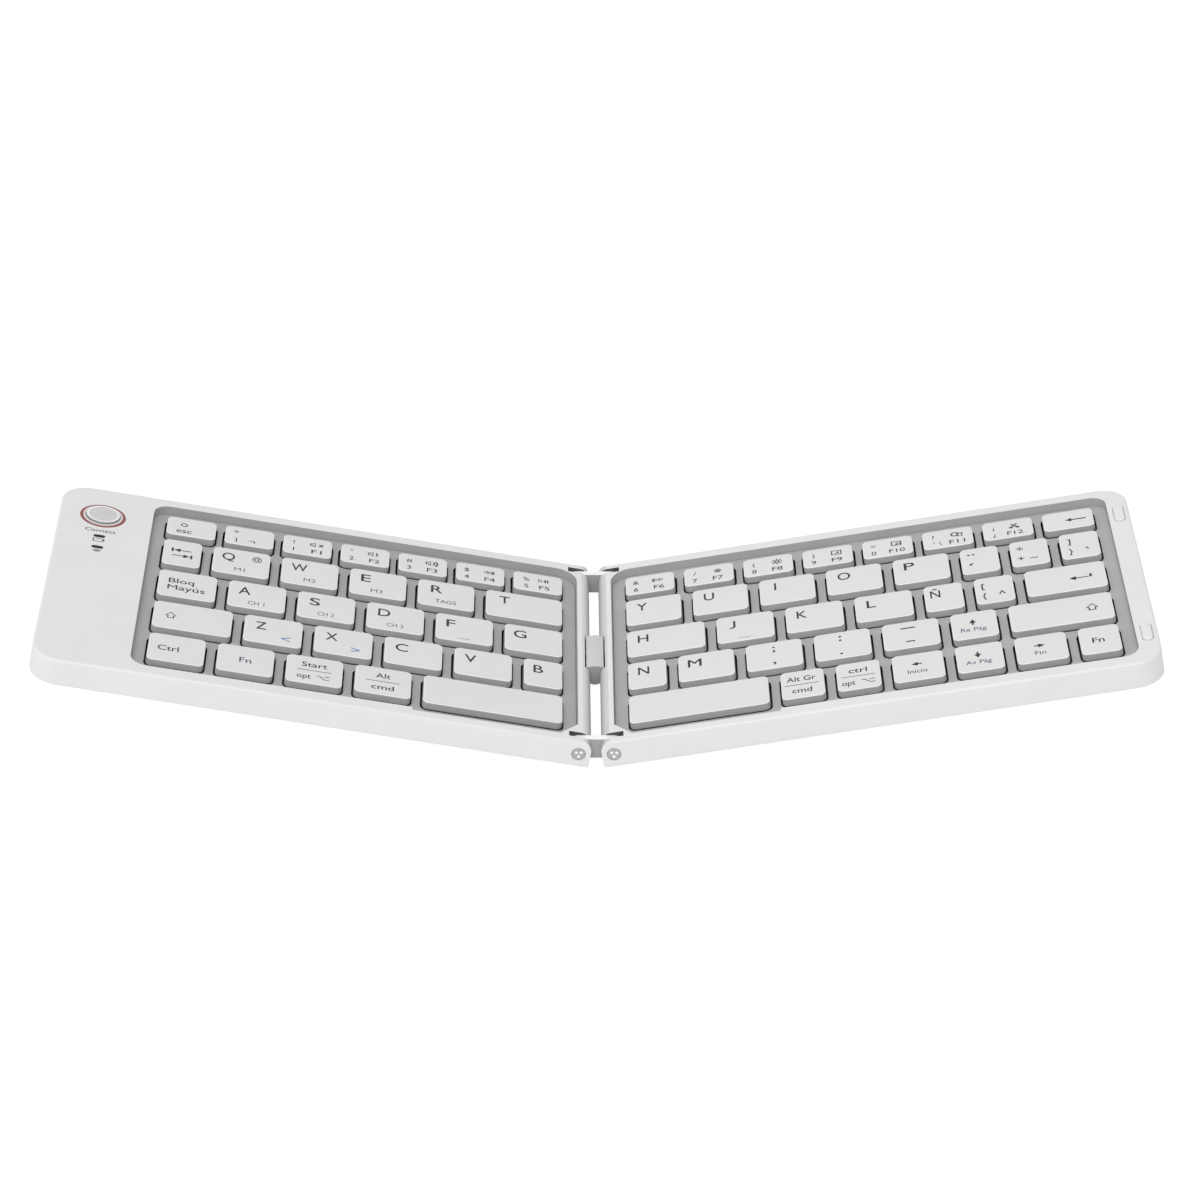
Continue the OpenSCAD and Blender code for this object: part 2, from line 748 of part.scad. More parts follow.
module flex_cable() {
    overlap = 0.3;
    color("orange") translate([0, boot_y, pivot_z]) along_y(cable_w) {
        translate([0, -cable_drop]) square([2 * pivot_x, cable_t], center = true);
        for (s = [0, 1]) mirror([s, 0]) translate([pivot_x, 0]) rotate(fold_rest)
            translate([-overlap, -cable_drop - cable_t / 2]) square([plate_x0 - pivot_x + overlap, cable_t]);
    }
}

// ---------- Left half ----------

module left_top_frame() { color(SHELL_WHITE) on_half(LEFT) top_frame(LEFT); }

module left_bottom_cover() { color(SHELL_WHITE) on_half(LEFT) bottom_cover(LEFT); }

module left_key_tray() { color(DECK_GREY) on_half(LEFT) key_tray(LEFT); }

module left_steel_plate() { color(STEEL) on_half(LEFT) steel_plate(LEFT); }

module left_membrane() { color("palegreen") on_half(LEFT) membrane(LEFT); }

module left_domes() { color("ivory") on_half(LEFT) domes(LEFT); }

module left_feet() { color(RUBBER_GREY) on_half(LEFT) feet(); }

module left_case_screws() { color(STEEL) on_half(LEFT) case_screws(); }

module left_magnets() { color(STEEL) on_half(LEFT) magnets(); }

module circuit_board() {
    color("darkgreen") on_half(LEFT) {
        translate([board_x0, board_y0, board_z]) cube([board_w, board_l, board_t]);
        translate([board_x0 + board_post_in, lens_y, board_top]) cube(chip_size);
        at_lenses() translate([-lamp_size.x / 2, -lamp_size.y / 2, board_top]) cube(lamp_size);
    }
}

module battery() {
    color("silver") on_half(LEFT) translate([board_x0, battery_y0, base_t + fit])
        rotate([-90, 0, 0]) translate([0, -battery_t, 0]) linear_extrude(battery_l)
            rounded_rect(battery_w, battery_t, battery_t / 4);
}

module battery_leads() {
    color("red") on_half(LEFT) for (s = [-1, 1])
        translate([board_x0 + (board_w + s * lead_spread) / 2, board_y0 - battery_gap, board_top + lead_r])
            rotate([-90, 0, 0]) cylinder(r = lead_r, h = battery_gap + lead_overlap);
}

module socket_section(inset) {
    w = socket_w / 2 - inset;
    h = socket_h / 2 - inset;
    bevel = 0.8;
    polygon([[-w, h], [w, h], [w, 0], [w - bevel, -h], [bevel - w, -h], [-w, 0]]);
}

module charging_socket() {
    tongue = [socket_w / 2, socket_l - 2 * socket_wall, socket_h / 4];
    color(STEEL) on_half(LEFT)
        translate([socket_x, half_d - socket_gap - socket_l / 2, board_top + socket_h / 2]) {
            difference() {
                along_y(socket_l) socket_section(0);
                translate([0, 2 * socket_wall, 0]) along_y(socket_l) socket_section(socket_wall);
            }
            translate([0, -socket_wall, tongue.z / 2]) cube(tongue, center = true);
        }
}

module tact_switch() {
    color("black") on_half(LEFT) translate([button_x, button_y, board_top]) {
        translate([-switch_w / 2, -switch_w / 2, 0]) cube([switch_w, switch_w, switch_t]);
        cylinder(r = switch_cap_r, h = switch_t + switch_cap_t);
    }
}

module connect_button() {
    disc_z = shell_t + button_proud;
    step_z = shell_t + button_step;
    skirt_top = deck_z - button_step;
    color(SHELL_WHITE) on_half(LEFT) translate([button_x, button_y, 0]) rotate_extrude() difference() {
        union() {
            square([button_stem_r, disc_z]);
            translate([0, skirt_top - button_skirt_t]) square([button_skirt_r, button_skirt_t]);
            translate([0, skirt_top - button_skirt_t]) square([button_r - fit, step_z - skirt_top + button_skirt_t]);
            translate([0, deck_z]) square([button_top_r, disc_z - edge_r / 2 - deck_z]);
            translate([button_top_r - edge_r / 2, disc_z - edge_r / 2]) circle(edge_r / 2);
            square([button_top_r - edge_r / 2, disc_z]);
        }
        translate([-over, -over]) square([over + button_stem_r, button_stem_z + over]);
        translate([button_stem_r, -over]) square([button_r, skirt_top - button_skirt_t + over]);
    }
}

module button_ring() {
    color("indianred") on_half(LEFT) translate([button_x, button_y, deck_z]) difference() {
        cylinder(r = ring_r, h = deck_drop);
        translate([0, 0, -over]) cylinder(r = button_r, h = deck_drop + 2 * over);
    }
}

module indicator_lenses() {
    lens_z = board_top + lamp_size.z + fit;
    color([0.1, 0.1, 0.1]) on_half(LEFT) at_lenses() {
        translate([0, 0, lens_z]) linear_extrude(shell_t - fit - lens_z) rotate(90) pill(lens_l - fit, lens_w - fit);
        translate([0, 0, deck_z - lens_base]) linear_extrude(lens_base) rotate(90)
            pill(lens_l + 2 * lens_base, lens_w + 2 * lens_base);
    }
}

// ---------- Right half ----------

module right_top_frame() { color(SHELL_WHITE) on_half(RIGHT) top_frame(RIGHT); }

module right_bottom_cover() { color(SHELL_WHITE) on_half(RIGHT) bottom_cover(RIGHT); }

module right_key_tray() { color(DECK_GREY) on_half(RIGHT) key_tray(RIGHT); }

module right_steel_plate() { color(STEEL) on_half(RIGHT) steel_plate(RIGHT); }

module right_membrane() { color("palegreen") on_half(RIGHT) membrane(RIGHT); }

module right_domes() { color("ivory") on_half(RIGHT) domes(RIGHT); }

module right_feet() { color(RUBBER_GREY) on_half(RIGHT) feet(); }

module right_case_screws() { color(STEEL) on_half(RIGHT) case_screws(); }

module right_magnets() { color(STEEL) on_half(RIGHT) magnets(); }

module buffer_pads() {
    step = pad_proud / 3;
    color(SHELL_WHITE) on_half(RIGHT) at_pads() {
        linear_extrude(pad_seat + pad_proud - step) pill(pad_l, pad_w);
        linear_extrude(pad_seat + pad_proud) pill(pad_l - 2 * step, pad_w - 2 * step);
    }
}

// ---------- Caps, numbered outward from the hinge ----------

module left_number_keys() { caps(LEFT, 0, 0, 5); }
module escape_key() { caps(LEFT, 0, 6, 6); }
module left_upper_letters() { caps(LEFT, 1, 0, 4); }
module tab_key() { caps(LEFT, 1, 5, 5); }
module left_home_letters() { caps(LEFT, 2, 0, 4); }
module caps_lock_key() { caps(LEFT, 2, 5, 5); }
module left_lower_letters() { caps(LEFT, 3, 0, 4); }
module left_shift_key() { caps(LEFT, 3, 5, 5); }
module left_space_key() { caps(LEFT, 4, 0, 0); }
module left_alt_key() { caps(LEFT, 4, 1, 1); }
module left_option_key() { caps(LEFT, 4, 2, 2); }
module left_function_key() { caps(LEFT, 4, 3, 3); }
module left_control_key() { caps(LEFT, 4, 4, 4); }
module right_number_keys() { caps(RIGHT, 0, 0, 6); }
module backspace_key() { caps(RIGHT, 0, 7, 7); }
module right_upper_letters() { caps(RIGHT, 1, 0, 4); }
module right_home_letters() { caps(RIGHT, 2, 0, 4); }
module right_lower_letters() { caps(RIGHT, 3, 0, 1); }
module symbol_keys() {
    caps(RIGHT, 1, 5, 7);
    caps(RIGHT, 2, 5, 5);
    caps(RIGHT, 3, 2, 4);
}
module enter_key() { caps(RIGHT, 2, 6, 6); }
module up_arrow_key() { caps(RIGHT, 3, 5, 5); }
module right_shift_key() { caps(RIGHT, 3, 6, 6); }
module right_space_key() { caps(RIGHT, 4, 0, 0); }
module right_modifier_keys() {
    caps(RIGHT, 4, 1, 2);
    caps(RIGHT, 4, 6, 6);
}
module left_arrow_key() { caps(RIGHT, 4, 3, 3); }
module down_arrow_key() { caps(RIGHT, 4, 4, 4); }
module right_arrow_key() { caps(RIGHT, 4, 5, 5); }

front_link();
rear_link();
pivot_screws();
spring_washers();
cable_boot();
flex_cable();
left_top_frame();
left_bottom_cover();
left_key_tray();
left_steel_plate();
left_membrane();
left_domes();
left_feet();
left_case_screws();
left_magnets();
circuit_board();
battery();
battery_leads();
charging_socket();
tact_switch();
connect_button();
button_ring();
indicator_lenses();
right_top_frame();
right_bottom_cover();
right_key_tray();
right_steel_plate();
right_membrane();
right_domes();
right_feet();
right_case_screws();
right_magnets();
buffer_pads();
left_number_keys();
escape_key();
left_upper_letters();
tab_key();
left_home_letters();
caps_lock_key();
left_lower_letters();
left_shift_key();
left_space_key();
left_alt_key();
left_option_key();
left_function_key();
left_control_key();
right_number_keys();
backspace_key();
right_upper_letters();
right_home_letters();
right_lower_letters();
symbol_keys();
enter_key();
up_arrow_key();
right_shift_key();
right_space_key();
right_modifier_keys();
left_arrow_key();
down_arrow_key();
right_arrow_key();
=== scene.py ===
"""Looks for the folding pocket keyboard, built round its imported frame.

Sizes are in millimetres and are turned into metres when a piece is placed. Each half is
described lying flat: u runs to the right from the middle of the hinge, v to the back from
the middle of the depth, and z up from the half's underside.
"""

import math

import bmesh
import bpy
from mathutils import Matrix, Vector


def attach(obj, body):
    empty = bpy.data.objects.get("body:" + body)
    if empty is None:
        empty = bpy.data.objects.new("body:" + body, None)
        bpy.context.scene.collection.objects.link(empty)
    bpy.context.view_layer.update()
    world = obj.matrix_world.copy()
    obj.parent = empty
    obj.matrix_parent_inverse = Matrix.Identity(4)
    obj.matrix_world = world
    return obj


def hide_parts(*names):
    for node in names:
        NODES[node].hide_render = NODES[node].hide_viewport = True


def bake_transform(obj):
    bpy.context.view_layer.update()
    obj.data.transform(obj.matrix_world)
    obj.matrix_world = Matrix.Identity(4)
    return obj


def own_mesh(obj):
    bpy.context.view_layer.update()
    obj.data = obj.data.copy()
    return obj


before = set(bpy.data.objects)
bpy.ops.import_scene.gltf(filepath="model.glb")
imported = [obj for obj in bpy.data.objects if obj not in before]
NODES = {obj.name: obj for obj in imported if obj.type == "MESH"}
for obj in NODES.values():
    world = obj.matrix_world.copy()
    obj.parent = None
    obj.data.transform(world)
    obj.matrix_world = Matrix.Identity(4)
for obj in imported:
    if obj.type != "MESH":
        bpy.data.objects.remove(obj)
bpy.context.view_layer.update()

MM = 0.001
LEFT, RIGHT = -1, 1
SIDES = (LEFT, RIGHT)
PIECE_SHARP = math.radians(38)
NODE_SHARP = math.radians(34)
HAND = {LEFT: "left", RIGHT: "right"}
HALF_BODY = {side: HAND[side] + "_half" for side in SIDES}

# Sizes that the frame also has: the hinge and the bodies
FOLD = math.radians(10.1)
PIVOT_X = 4.75
PIVOT_H = 3.85
RAIL_REACH = 3.25
PIVOT_Z = RAIL_REACH * math.sin(FOLD) + PIVOT_H * math.cos(FOLD)
HALF_L = 152.75
BODY_D = 97.95
SHELL_T = 7.8
RAIL_SIDE_U = 4.6
POCKET_U = 8.0
POCKET_V = (44.275, 46.675)
LOBE_REACH = 1.25
LOBE_DEPTH = (0.4, 0.6)

# The well and the caps
WELL_U = (5.5, {LEFT: 126.65, RIGHT: 146.85})
WELL_V = (-45.975, 44.925)
FIELD_X = 9.65
FIELD_V = (-40.125, 40.275)
FIELD_L = {LEFT: 112.85, RIGHT: 133.05}
DECK_Z = 5.3
CAP_Z = 7.4
CAP_D = 14.3
NUMBER_CAP_D = 10.25
CAP_GAP = 3.3
NUMBER_GAP = {LEFT: 2.6, RIGHT: 2.85}
NUMBER_ROW, HOME_ROW, SPACE_ROW = 0, 2, 4

# The button, its word and the windows with their signs, on the left half
BUTTON_U = -140.55
BUTTON_V = 33.175
WORD_DROP = 7.6
WORD_H = 1.7
WORD_L = 8.5
LENS_V = (21.525, 15.225)
LENS_SIGNS = (("battery", 0.44), ("waves", 0.34))
SIGN_DROP = 2.3

# Soft pieces: domes, pads, feet, boot and flat cable. A size is length, width, height
DOME_SHEET_Z = 3.15
DOME_TOP_Z = 6.4
DOME_GAP = 0.03  # between a dome and its cap
DOME_R = (3.1, 2.2)
SHEET_SINK = 0.02  # how far a dome stands in its sheet
PAD_U = 149.8
PAD_V = 33.5
PAD_SIZE = (9.0, 2.8, 1.24)
PAD_EDGE = 0.5
PAD_SEAT = 0.5
FOOT_U = (24, HALF_L - 18)
FOOT_V = BODY_D / 2 - 9
FOOT_SIZE = (16, 4.4, 0.9)
FOOT_EDGE = 0.25
FOOT_SEAT = 0.3
BOOT_V = 0.5
BOOT_Z = PIVOT_Z + 0.55
BOOT_SIZE = (17.2, 5.0, 6.0)
BOOT_CROWN = 6.5
BOOT_CORNER = 0.5
CABLE_W = 11
CABLE_T = 0.2
CABLE_DROP = 1.1
CABLE_REACH = 4.2

# The bar that a finger finds on one cap of each home row
BAR_CAP = 1
BAR_SIZE = (3.3, 0.7, 0.5)
BAR_AT = (7.7, 12.05)
BAR_CORNER = 0.3
BAR_EDGE = 0.2
BAR_SEAT = 0.05

# The camera stands ahead of the front edge and above the pins
SENSOR_W = 36
PICTURE_W = 1200
FOCAL_PIXELS = 4432
MIDDLE_PIXEL = 544.437
CAMERA_SIDE, CAMERA_AHEAD, CAMERA_UP = -13.978, 1013.204, 614.03
CAMERA_TILT = 0.5101
CAMERA_ROLL = 0.003
CAMERA_CLIP = (0.05, 20)

# Light and floor
LAMP_AT = (-0.5, -2.5, 3.08)
LAMP_SIZE = 2.4
LAMP_POWER = 59
ROOM_LIGHT = 0.7
ROOM_SLOPE = 0.19  # how much lighter the room is on the left, and darker on the right
FLOOR_R = 2500
FLOOR_DROP = 0.02
FLOOR_GLOW = 1.08
FLOOR_GLOW_SHARE = 0.9


def half_to_frame(side):
    """From a flat half in millimetres to the frame, where it is folded up about its pin."""
    pin = Vector((side * PIVOT_X, 0, 0))
    return (
        Matrix.Scale(MM, 4)
        @ Matrix.Translation(pin + Vector((0, 0, PIVOT_Z)))
        @ Matrix.Rotation(-side * FOLD, 4, "Y")
        @ Matrix.Translation(-pin - Vector((0, 0, PIVOT_H)))
    )


HALF = {side: half_to_frame(side) for side in SIDES}
HINGE = Matrix.Scale(MM, 4)


# ---------- Materials ----------


def tone(rgb):
    """A colour from its 0 to 255 levels on screen."""

    def linear(c):
        c = c / 255
        return c / 12.92 if c <= 0.04045 else ((c + 0.055) / 1.055) ** 2.4

    return tuple(linear(c) for c in rgb) + (1.0,)


def grey(level, warm=0.0):
    """A neutral colour, with a little warmth."""
    return tone((level + warm, level, level - warm))


def plug(tree, socket, value):
    """Sets a socket, or links it where the value is another node's output."""
    if isinstance(value, bpy.types.NodeSocket):
        tree.links.new(value, socket)
    else:
        socket.default_value = value


def add_node(tree, kind, *values, operation=None, **named):
    """A new node, its sockets filled in order by values and by name by named."""
    node = tree.nodes.new(kind)
    if operation:
        node.operation = operation
    for socket, value in zip(node.inputs, values):
        plug(tree, socket, value)
    for name, value in named.items():
        plug(tree, node.inputs[name.replace("_", " ")], value)
    return node


def seen_rays(tree):
    """1 for what the camera sees, also in a gloss, and 0 for other light."""
    path = add_node(tree, "ShaderNodeLightPath").outputs
    either = add_node(tree, "ShaderNodeMath", path["Is Camera Ray"], path["Is Glossy Ray"], operation="MAXIMUM")
    return either.outputs[0]


class Shader:
    """A node material, with short ways to add what a moulded surface needs."""

    def __init__(self, name, roughness, **sockets):
        self.material = bpy.data.materials.new(name)
        self.material.use_nodes = True
        self.tree = self.material.node_tree
        self.surface = self.tree.nodes["Principled BSDF"]
        for socket, value in {"Roughness": roughness, **sockets}.items():
            self.surface.inputs[socket.replace("_", " ")].default_value = value
        self.place = self.node("ShaderNodeTexCoord").outputs["Object"]

    def node(self, kind, *values, **named):
        return add_node(self.tree, kind, *values, **named)

    def noise(self, size_mm, detail=2.0):
        node = self.node("ShaderNodeTexNoise", Vector=self.place, Scale=1 / (size_mm * MM), Detail=detail)
        return node.outputs["Fac"]

    def mix(self, factor, a, b):
        node = self.tree.nodes.new("ShaderNodeMix")
        node.data_type = "RGBA"
        colours = [s for s in node.inputs if s.type == "RGBA"]
        for socket, value in zip([node.inputs[0], *colours], (factor, a, b)):
            plug(self.tree, socket, value)
        return next(s for s in node.outputs if s.type == "RGBA")

    def spread(self, value, low, high, out_low=0.0, out_high=1.0):
        """Goes from out_low to out_high while the value goes from low to high."""
        return self.node("ShaderNodeMapRange", value, low, high, out_low, out_high).outputs["Result"]

    def band(self, distance, start, end):
        """Goes from 0 to 1 while a distance goes from start to end, both in millimetres."""
        return self.spread(distance, start * MM, end * MM)

    def colour(self, value):
        plug(self.tree, self.surface.inputs["Base Color"], value)

    def grain(self, size_mm, depth_mm):
        """Fine relief all over, of that size and depth."""
        bump = self.node("ShaderNodeBump", Height=self.noise(size_mm), Strength=1.0, Distance=depth_mm * MM)
        plug(self.tree, self.surface.inputs["Normal"], bump.outputs["Normal"])

    def uneven_gloss(self, size_mm, low, high):
        value = self.spread(self.noise(size_mm, 4.0), 0.35, 0.65, low, high)
        plug(self.tree, self.surface.inputs["Roughness"], value)


def shaded(shader, base, darker, size_mm=18.0):
    """The base colour, clouded very slightly, as moulded pieces are."""
    return shader.mix(shader.spread(shader.noise(size_mm, 3.0), 0.3, 0.7), base, darker)


def moulded(name, level, roughness, warm=0.0, grain_mm=0.12, depth_mm=0.004, cloud=3, **sockets):
    """Plastic or rubber of one grey level."""
    shader = Shader(name, roughness, **sockets)
    shader.colour(shaded(shader, grey(level, warm), grey(level - cloud, warm)))
    shader.grain(grain_mm, depth_mm)
    shader.uneven_gloss(2.5, roughness - 0.04, roughness + 0.05)
    return shader.material


def metal(name, level, roughness, brushed_mm=0.4):
    """Bare metal, faintly uneven."""
    shader = Shader(name, roughness, Metallic=1.0)
    shader.colour(shaded(shader, grey(level), grey(level - 8), 1.2))
    shader.grain(brushed_mm, 0.003)
    shader.uneven_gloss(0.8, roughness - 0.05, roughness + 0.08)
    return shader.material


def ink(name, rgb):
    """Printing ink of those levels."""
    shader = Shader(name, 0.55)
    shader.colour(shader.mix(shader.spread(shader.noise(0.3), 0.3, 0.7), tone(rgb), tone([c + 8 for c in rgb])))
    shader.grain(0.05, 0.002)
    return shader.material


def height_in_half(shader, side):
    """Height above the half's underside in metres, read in the folded frame."""
    up = Vector((-side * math.sin(FOLD), 0, math.cos(FOLD)))
    pin = Vector((side * PIVOT_X, 0, PIVOT_Z)) * MM
    along = shader.node("ShaderNodeVectorMath", shader.place, up, operation="DOT_PRODUCT").outputs["Value"]
    return shader.node("ShaderNodeMath", along, PIVOT_H * MM - up.dot(pin), operation="ADD").outputs[0]


def cap_material(side):
    """White on top, with a painted highlight along its top edge; its sides are painted grey as shade, near black
    down in the slot.
    """
    shader = Shader("cap_plastic_" + HALF_BODY[side], 0.5, Specular_IOR_Level=0.4)
    height = height_in_half(shader, side)
    top = shaded(shader, grey(227), grey(225), 9.0)
    # Painted shade: grey sides, turning near black below the deck where the slot lies in shade.
    painted_skirt_shade = shader.mix(shader.band(height, DECK_Z - 0.1, DECK_Z + 0.15), grey(30), grey(176))
    # Painted highlight: a white line on the rounded top edge.
    edge = shader.mix(shader.band(height, CAP_Z - 0.03, CAP_Z - 0.003), grey(255), top)
    shader.colour(shader.mix(shader.band(height, CAP_Z - 0.14, CAP_Z - 0.06), painted_skirt_shade, edge))
    shader.grain(0.1, 0.004)
    shader.uneven_gloss(1.5, 0.46, 0.56)
    return shader.material


def deck_material(side, level):
    """The grey of the well."""
    shader = Shader("deck_plastic_" + HALF_BODY[side], 0.55)
    shader.colour(shaded(shader, grey(level), grey(level - 4), 12.0))
    shader.grain(0.12, 0.004)
    shader.uneven_gloss(2.5, 0.5, 0.6)
    return shader.material


def rail_shade_material(side, low, high):
    """The hinge rail's rounded side, with painted shade that grows darker downward."""
    shader = Shader("rail_plastic_" + HALF_BODY[side], 0.45)
    height = height_in_half(shader, side)
    shader.colour(shader.mix(shader.band(height, 5.2, 7.75), grey(low), grey(high)))
    shader.grain(0.12, 0.004)
    return shader.material


def ring_material():
    shader = Shader("ring_red", 0.35, Coat_Weight=0.2)
    shader.colour(shaded(shader, tone((146, 66, 58)), tone((136, 60, 54)), 4.0))
    shader.grain(0.1, 0.003)
    return shader.material


def button_material():
    """Faintly pink, with a painted highlight on the raised disc's edge and painted shade on its side."""
    shader = Shader("button_plastic", 0.4, Coat_Weight=0.1)
    middle = HALF[LEFT] @ Vector((BUTTON_U, BUTTON_V, SHELL_T))
    away = shader.node("ShaderNodeVectorMath", shader.place, middle, operation="DISTANCE").outputs["Value"]
    disc = shaded(shader, tone((210, 207, 208)), tone((206, 203, 204)), 5.0)
    # Painted highlight along the disc's top edge.
    edge = shader.mix(shader.band(away, 3.95, 4.25), disc, grey(244))
    # Painted shade on the disc's side, below that edge.
    side = shader.mix(shader.band(away, 4.66, 4.74), edge, grey(138))
    shader.colour(shader.mix(shader.band(away, 4.96, 5.04), side, tone((232, 225, 227))))
    shader.grain(0.12, 0.003)
    return shader.material


SHELL = moulded("shell_plastic", 232, 0.42, Coat_Weight=0.08, Coat_Roughness=0.3)
# Painted light: the same grey tray is set lighter on the right half than on the left, as that half is lit more.
DECK = {LEFT: deck_material(LEFT, 178), RIGHT: deck_material(RIGHT, 183)}
SLOT = moulded("slot_shade", 24, 0.6)
CAPS = {side: cap_material(side) for side in SIDES}
# Painted shade on the rails' rounded sides; the levels differ per half with how each half is lit.
RAIL_SHADE = {LEFT: rail_shade_material(LEFT, 164, 220), RIGHT: rail_shade_material(RIGHT, 184, 211)}
POCKET = moulded("pocket_shade", 84, 0.6)
LINK = moulded("link_enamel", 172, 0.35, grain_mm=0.2, Coat_Weight=0.2, Coat_Roughness=0.2)
# Painted light: the links' upper faces are painted near white, as lit from above, while their other faces stay
# grey.
LINK_LIT_TOP = moulded("link_enamel_painted_lit_top", 254, 0.3, grain_mm=0.2, Coat_Weight=0.2, Coat_Roughness=0.2)
# Painted highlight: the lobes sunk in the steel screw heads are painted white, where they catch the light.
LOBE_HIGHLIGHT = moulded("screw_lobe_painted_highlight", 255, 0.4)
STEEL = metal("screw_steel", 178, 0.3)
PLATE = metal("plate_steel", 180, 0.35)
NICKEL = metal("magnet_nickel", 200, 0.18)
RUBBER = moulded("foot_rubber", 70, 0.75, grain_mm=0.25, depth_mm=0.01, cloud=8)
BOOT = moulded("boot_rubber", 208, 0.6, grain_mm=0.2, depth_mm=0.006)
# Painted shade: the boot's end faces are a darker grey of the same rubber.
BOOT_END_SHADE = moulded("boot_rubber_end_painted_shade", 165, 0.65, grain_mm=0.2, depth_mm=0.006)
PAD = moulded("pad_rubber", 232, 0.55, grain_mm=0.15, depth_mm=0.005)
# Painted shade: the domes and the switch film are near black, so that what shows down the slots reads as shade.
DOME_IN_SHADE = moulded("dome_silicone", 44, 0.45)
FILM_IN_SHADE = moulded("switch_film", 44, 0.4)
CABLE = moulded("cable_film", 70, 0.35, warm=6)
BOARD = moulded("board_mask", 70, 0.4, grain_mm=0.3)
FOIL = metal("battery_foil", 190, 0.3, 0.8)
LEAD = moulded("lead_insulation", 90, 0.45, warm=60)
BLACK = moulded("switch_black", 34, 0.45)
LENS = moulded("indicator_window", 8, 0.35, grain_mm=0.4, depth_mm=0.001, cloud=2, Specular_IOR_Level=0.2)
RING = ring_material()

INKS = [
    ink("ink_dark", (26, 26, 28)),
    ink("ink_grey", (64, 64, 67)),
    ink("ink_pale", (112, 114, 118)),
    ink("ink_blue", (84, 130, 180)),
    ink("ink_slate", (80, 90, 114)),
    ink("ink_number", (44, 44, 47)),
]
DARK, GREY, PALE, BLUE, SLATE, INK = range(len(INKS))


# ---------- Building pieces ----------


def finish_piece(name, mesh_or_bm, place, material, body=None, replaces=(), smooth=True):
    """Makes an object of a mesh in millimetres, with its place in its mesh."""
    mesh = mesh_or_bm
    if isinstance(mesh_or_bm, bmesh.types.BMesh):
        mesh = bpy.data.meshes.new(name)
        bmesh.ops.recalc_face_normals(mesh_or_bm, faces=mesh_or_bm.faces)
        mesh_or_bm.to_mesh(mesh)
        mesh_or_bm.free()
    mesh.transform(place)
    for polygon in mesh.polygons:
        polygon.use_smooth = smooth
    if smooth:
        mesh.set_sharp_from_angle(angle=PIECE_SHARP)
    for one in material if isinstance(material, list) else [material]:
        mesh.materials.append(one)
    piece = bpy.data.objects.new(name, mesh)
    bpy.context.scene.collection.objects.link(piece)
    if body:
        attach(piece, body)
    if replaces:
        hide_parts(*replaces)
    return piece


def bevel(bm, edges, width, segments):
    bmesh.ops.bevel(
        bm, geom=edges, offset=width, offset_type="OFFSET", segments=segments,
        profile=0.5, affect="EDGES", material=-1, clamp_overlap=True,
    )


def raise_face(bm, way):
    """Turns the flat shape in bm into a solid that reaches that far from it."""
    moved = bmesh.ops.extrude_face_region(bm, geom=list(bm.faces))["geom"]
    bmesh.ops.translate(bm, verts=[v for v in moved if isinstance(v, bmesh.types.BMVert)], vec=way)


def pill_block(size, edge):
    """A block with round ends along v, standing on z = 0, its top edge rounded."""
    length, width, height = size
    segments = 40
    bm = bmesh.new()
    bmesh.ops.create_circle(
        bm, cap_ends=True, segments=segments, radius=width / 2, matrix=Matrix.Rotation(math.pi / segments, 4, "Z")
    )
    for vert in bm.verts:
        vert.co.y += math.copysign((length - width) / 2, vert.co.y)
    raise_face(bm, (0, 0, height))
    bevel(bm, [e for e in bm.edges if all(v.co.z > height / 2 for v in e.verts)], edge, 5)
    return bm


def add_mesh(bm, mesh, matrix, slot):
    """Adds a mesh to bm, moved by matrix, all its faces in one material slot."""
    mesh.transform(matrix)
    for polygon in mesh.polygons:
        polygon.material_index = slot
    bm.from_mesh(mesh)
    bpy.data.meshes.remove(mesh)


def add_block(bm, block, matrix):
    """Adds one bmesh to another, moved by matrix."""
    mesh = bpy.data.meshes.new("block")
    block.to_mesh(mesh)
    block.free()
    add_mesh(bm, mesh, matrix, 0)


def curve_mesh(curve):
    """The mesh that a curve or text makes; the curve itself goes."""
    holder = bpy.data.objects.new("holder", curve)
    bpy.context.scene.collection.objects.link(holder)
    graph = bpy.context.evaluated_depsgraph_get()
    mesh = bpy.data.meshes.new_from_object(holder.evaluated_get(graph))
    bpy.data.objects.remove(holder)
    bpy.data.curves.remove(curve)
    return mesh


# ---------- Printed marks ----------

CAPITAL = 0.682  # height of a capital in the built-in type, at size 1
TYPE_WIDTH = 1.02
PRINT_T = 0.03
PRINT_LIFT = PRINT_T / 2 - 0.01  # the marks sink that little into their piece
LETTER_WEIGHT = 0.008
SMALL_WEIGHT = 0.009
BIG_TYPE = 3  # type taller than that is a cap's letter
HEAD_WIDTH = 0.95
# How far the letters of each row stand below the usual line
LETTER_DROP = (0, 0.05, 0.35, 0.42, 0)


def text_mesh(words, height, weight, width=None):
    """Type with capitals of that height; weight thickens the strokes, width sets the length."""
    curve = bpy.data.curves.new("words", "FONT")
    curve.body = words
    curve.bevel_depth = weight
    curve.bevel_resolution = 0
    curve.resolution_u = 4
    mesh = curve_mesh(curve)
    left = min(v.co.x for v in mesh.vertices)
    right = max(v.co.x for v in mesh.vertices)
    scale = height / CAPITAL
    stretch = width / (right - left) if width else scale * TYPE_WIDTH
    flatten = PRINT_T / 2 / weight
    mesh.transform(Matrix.Diagonal((stretch, scale, flatten, 1)) @ Matrix.Translation((-left, 0, 0)))
    return mesh


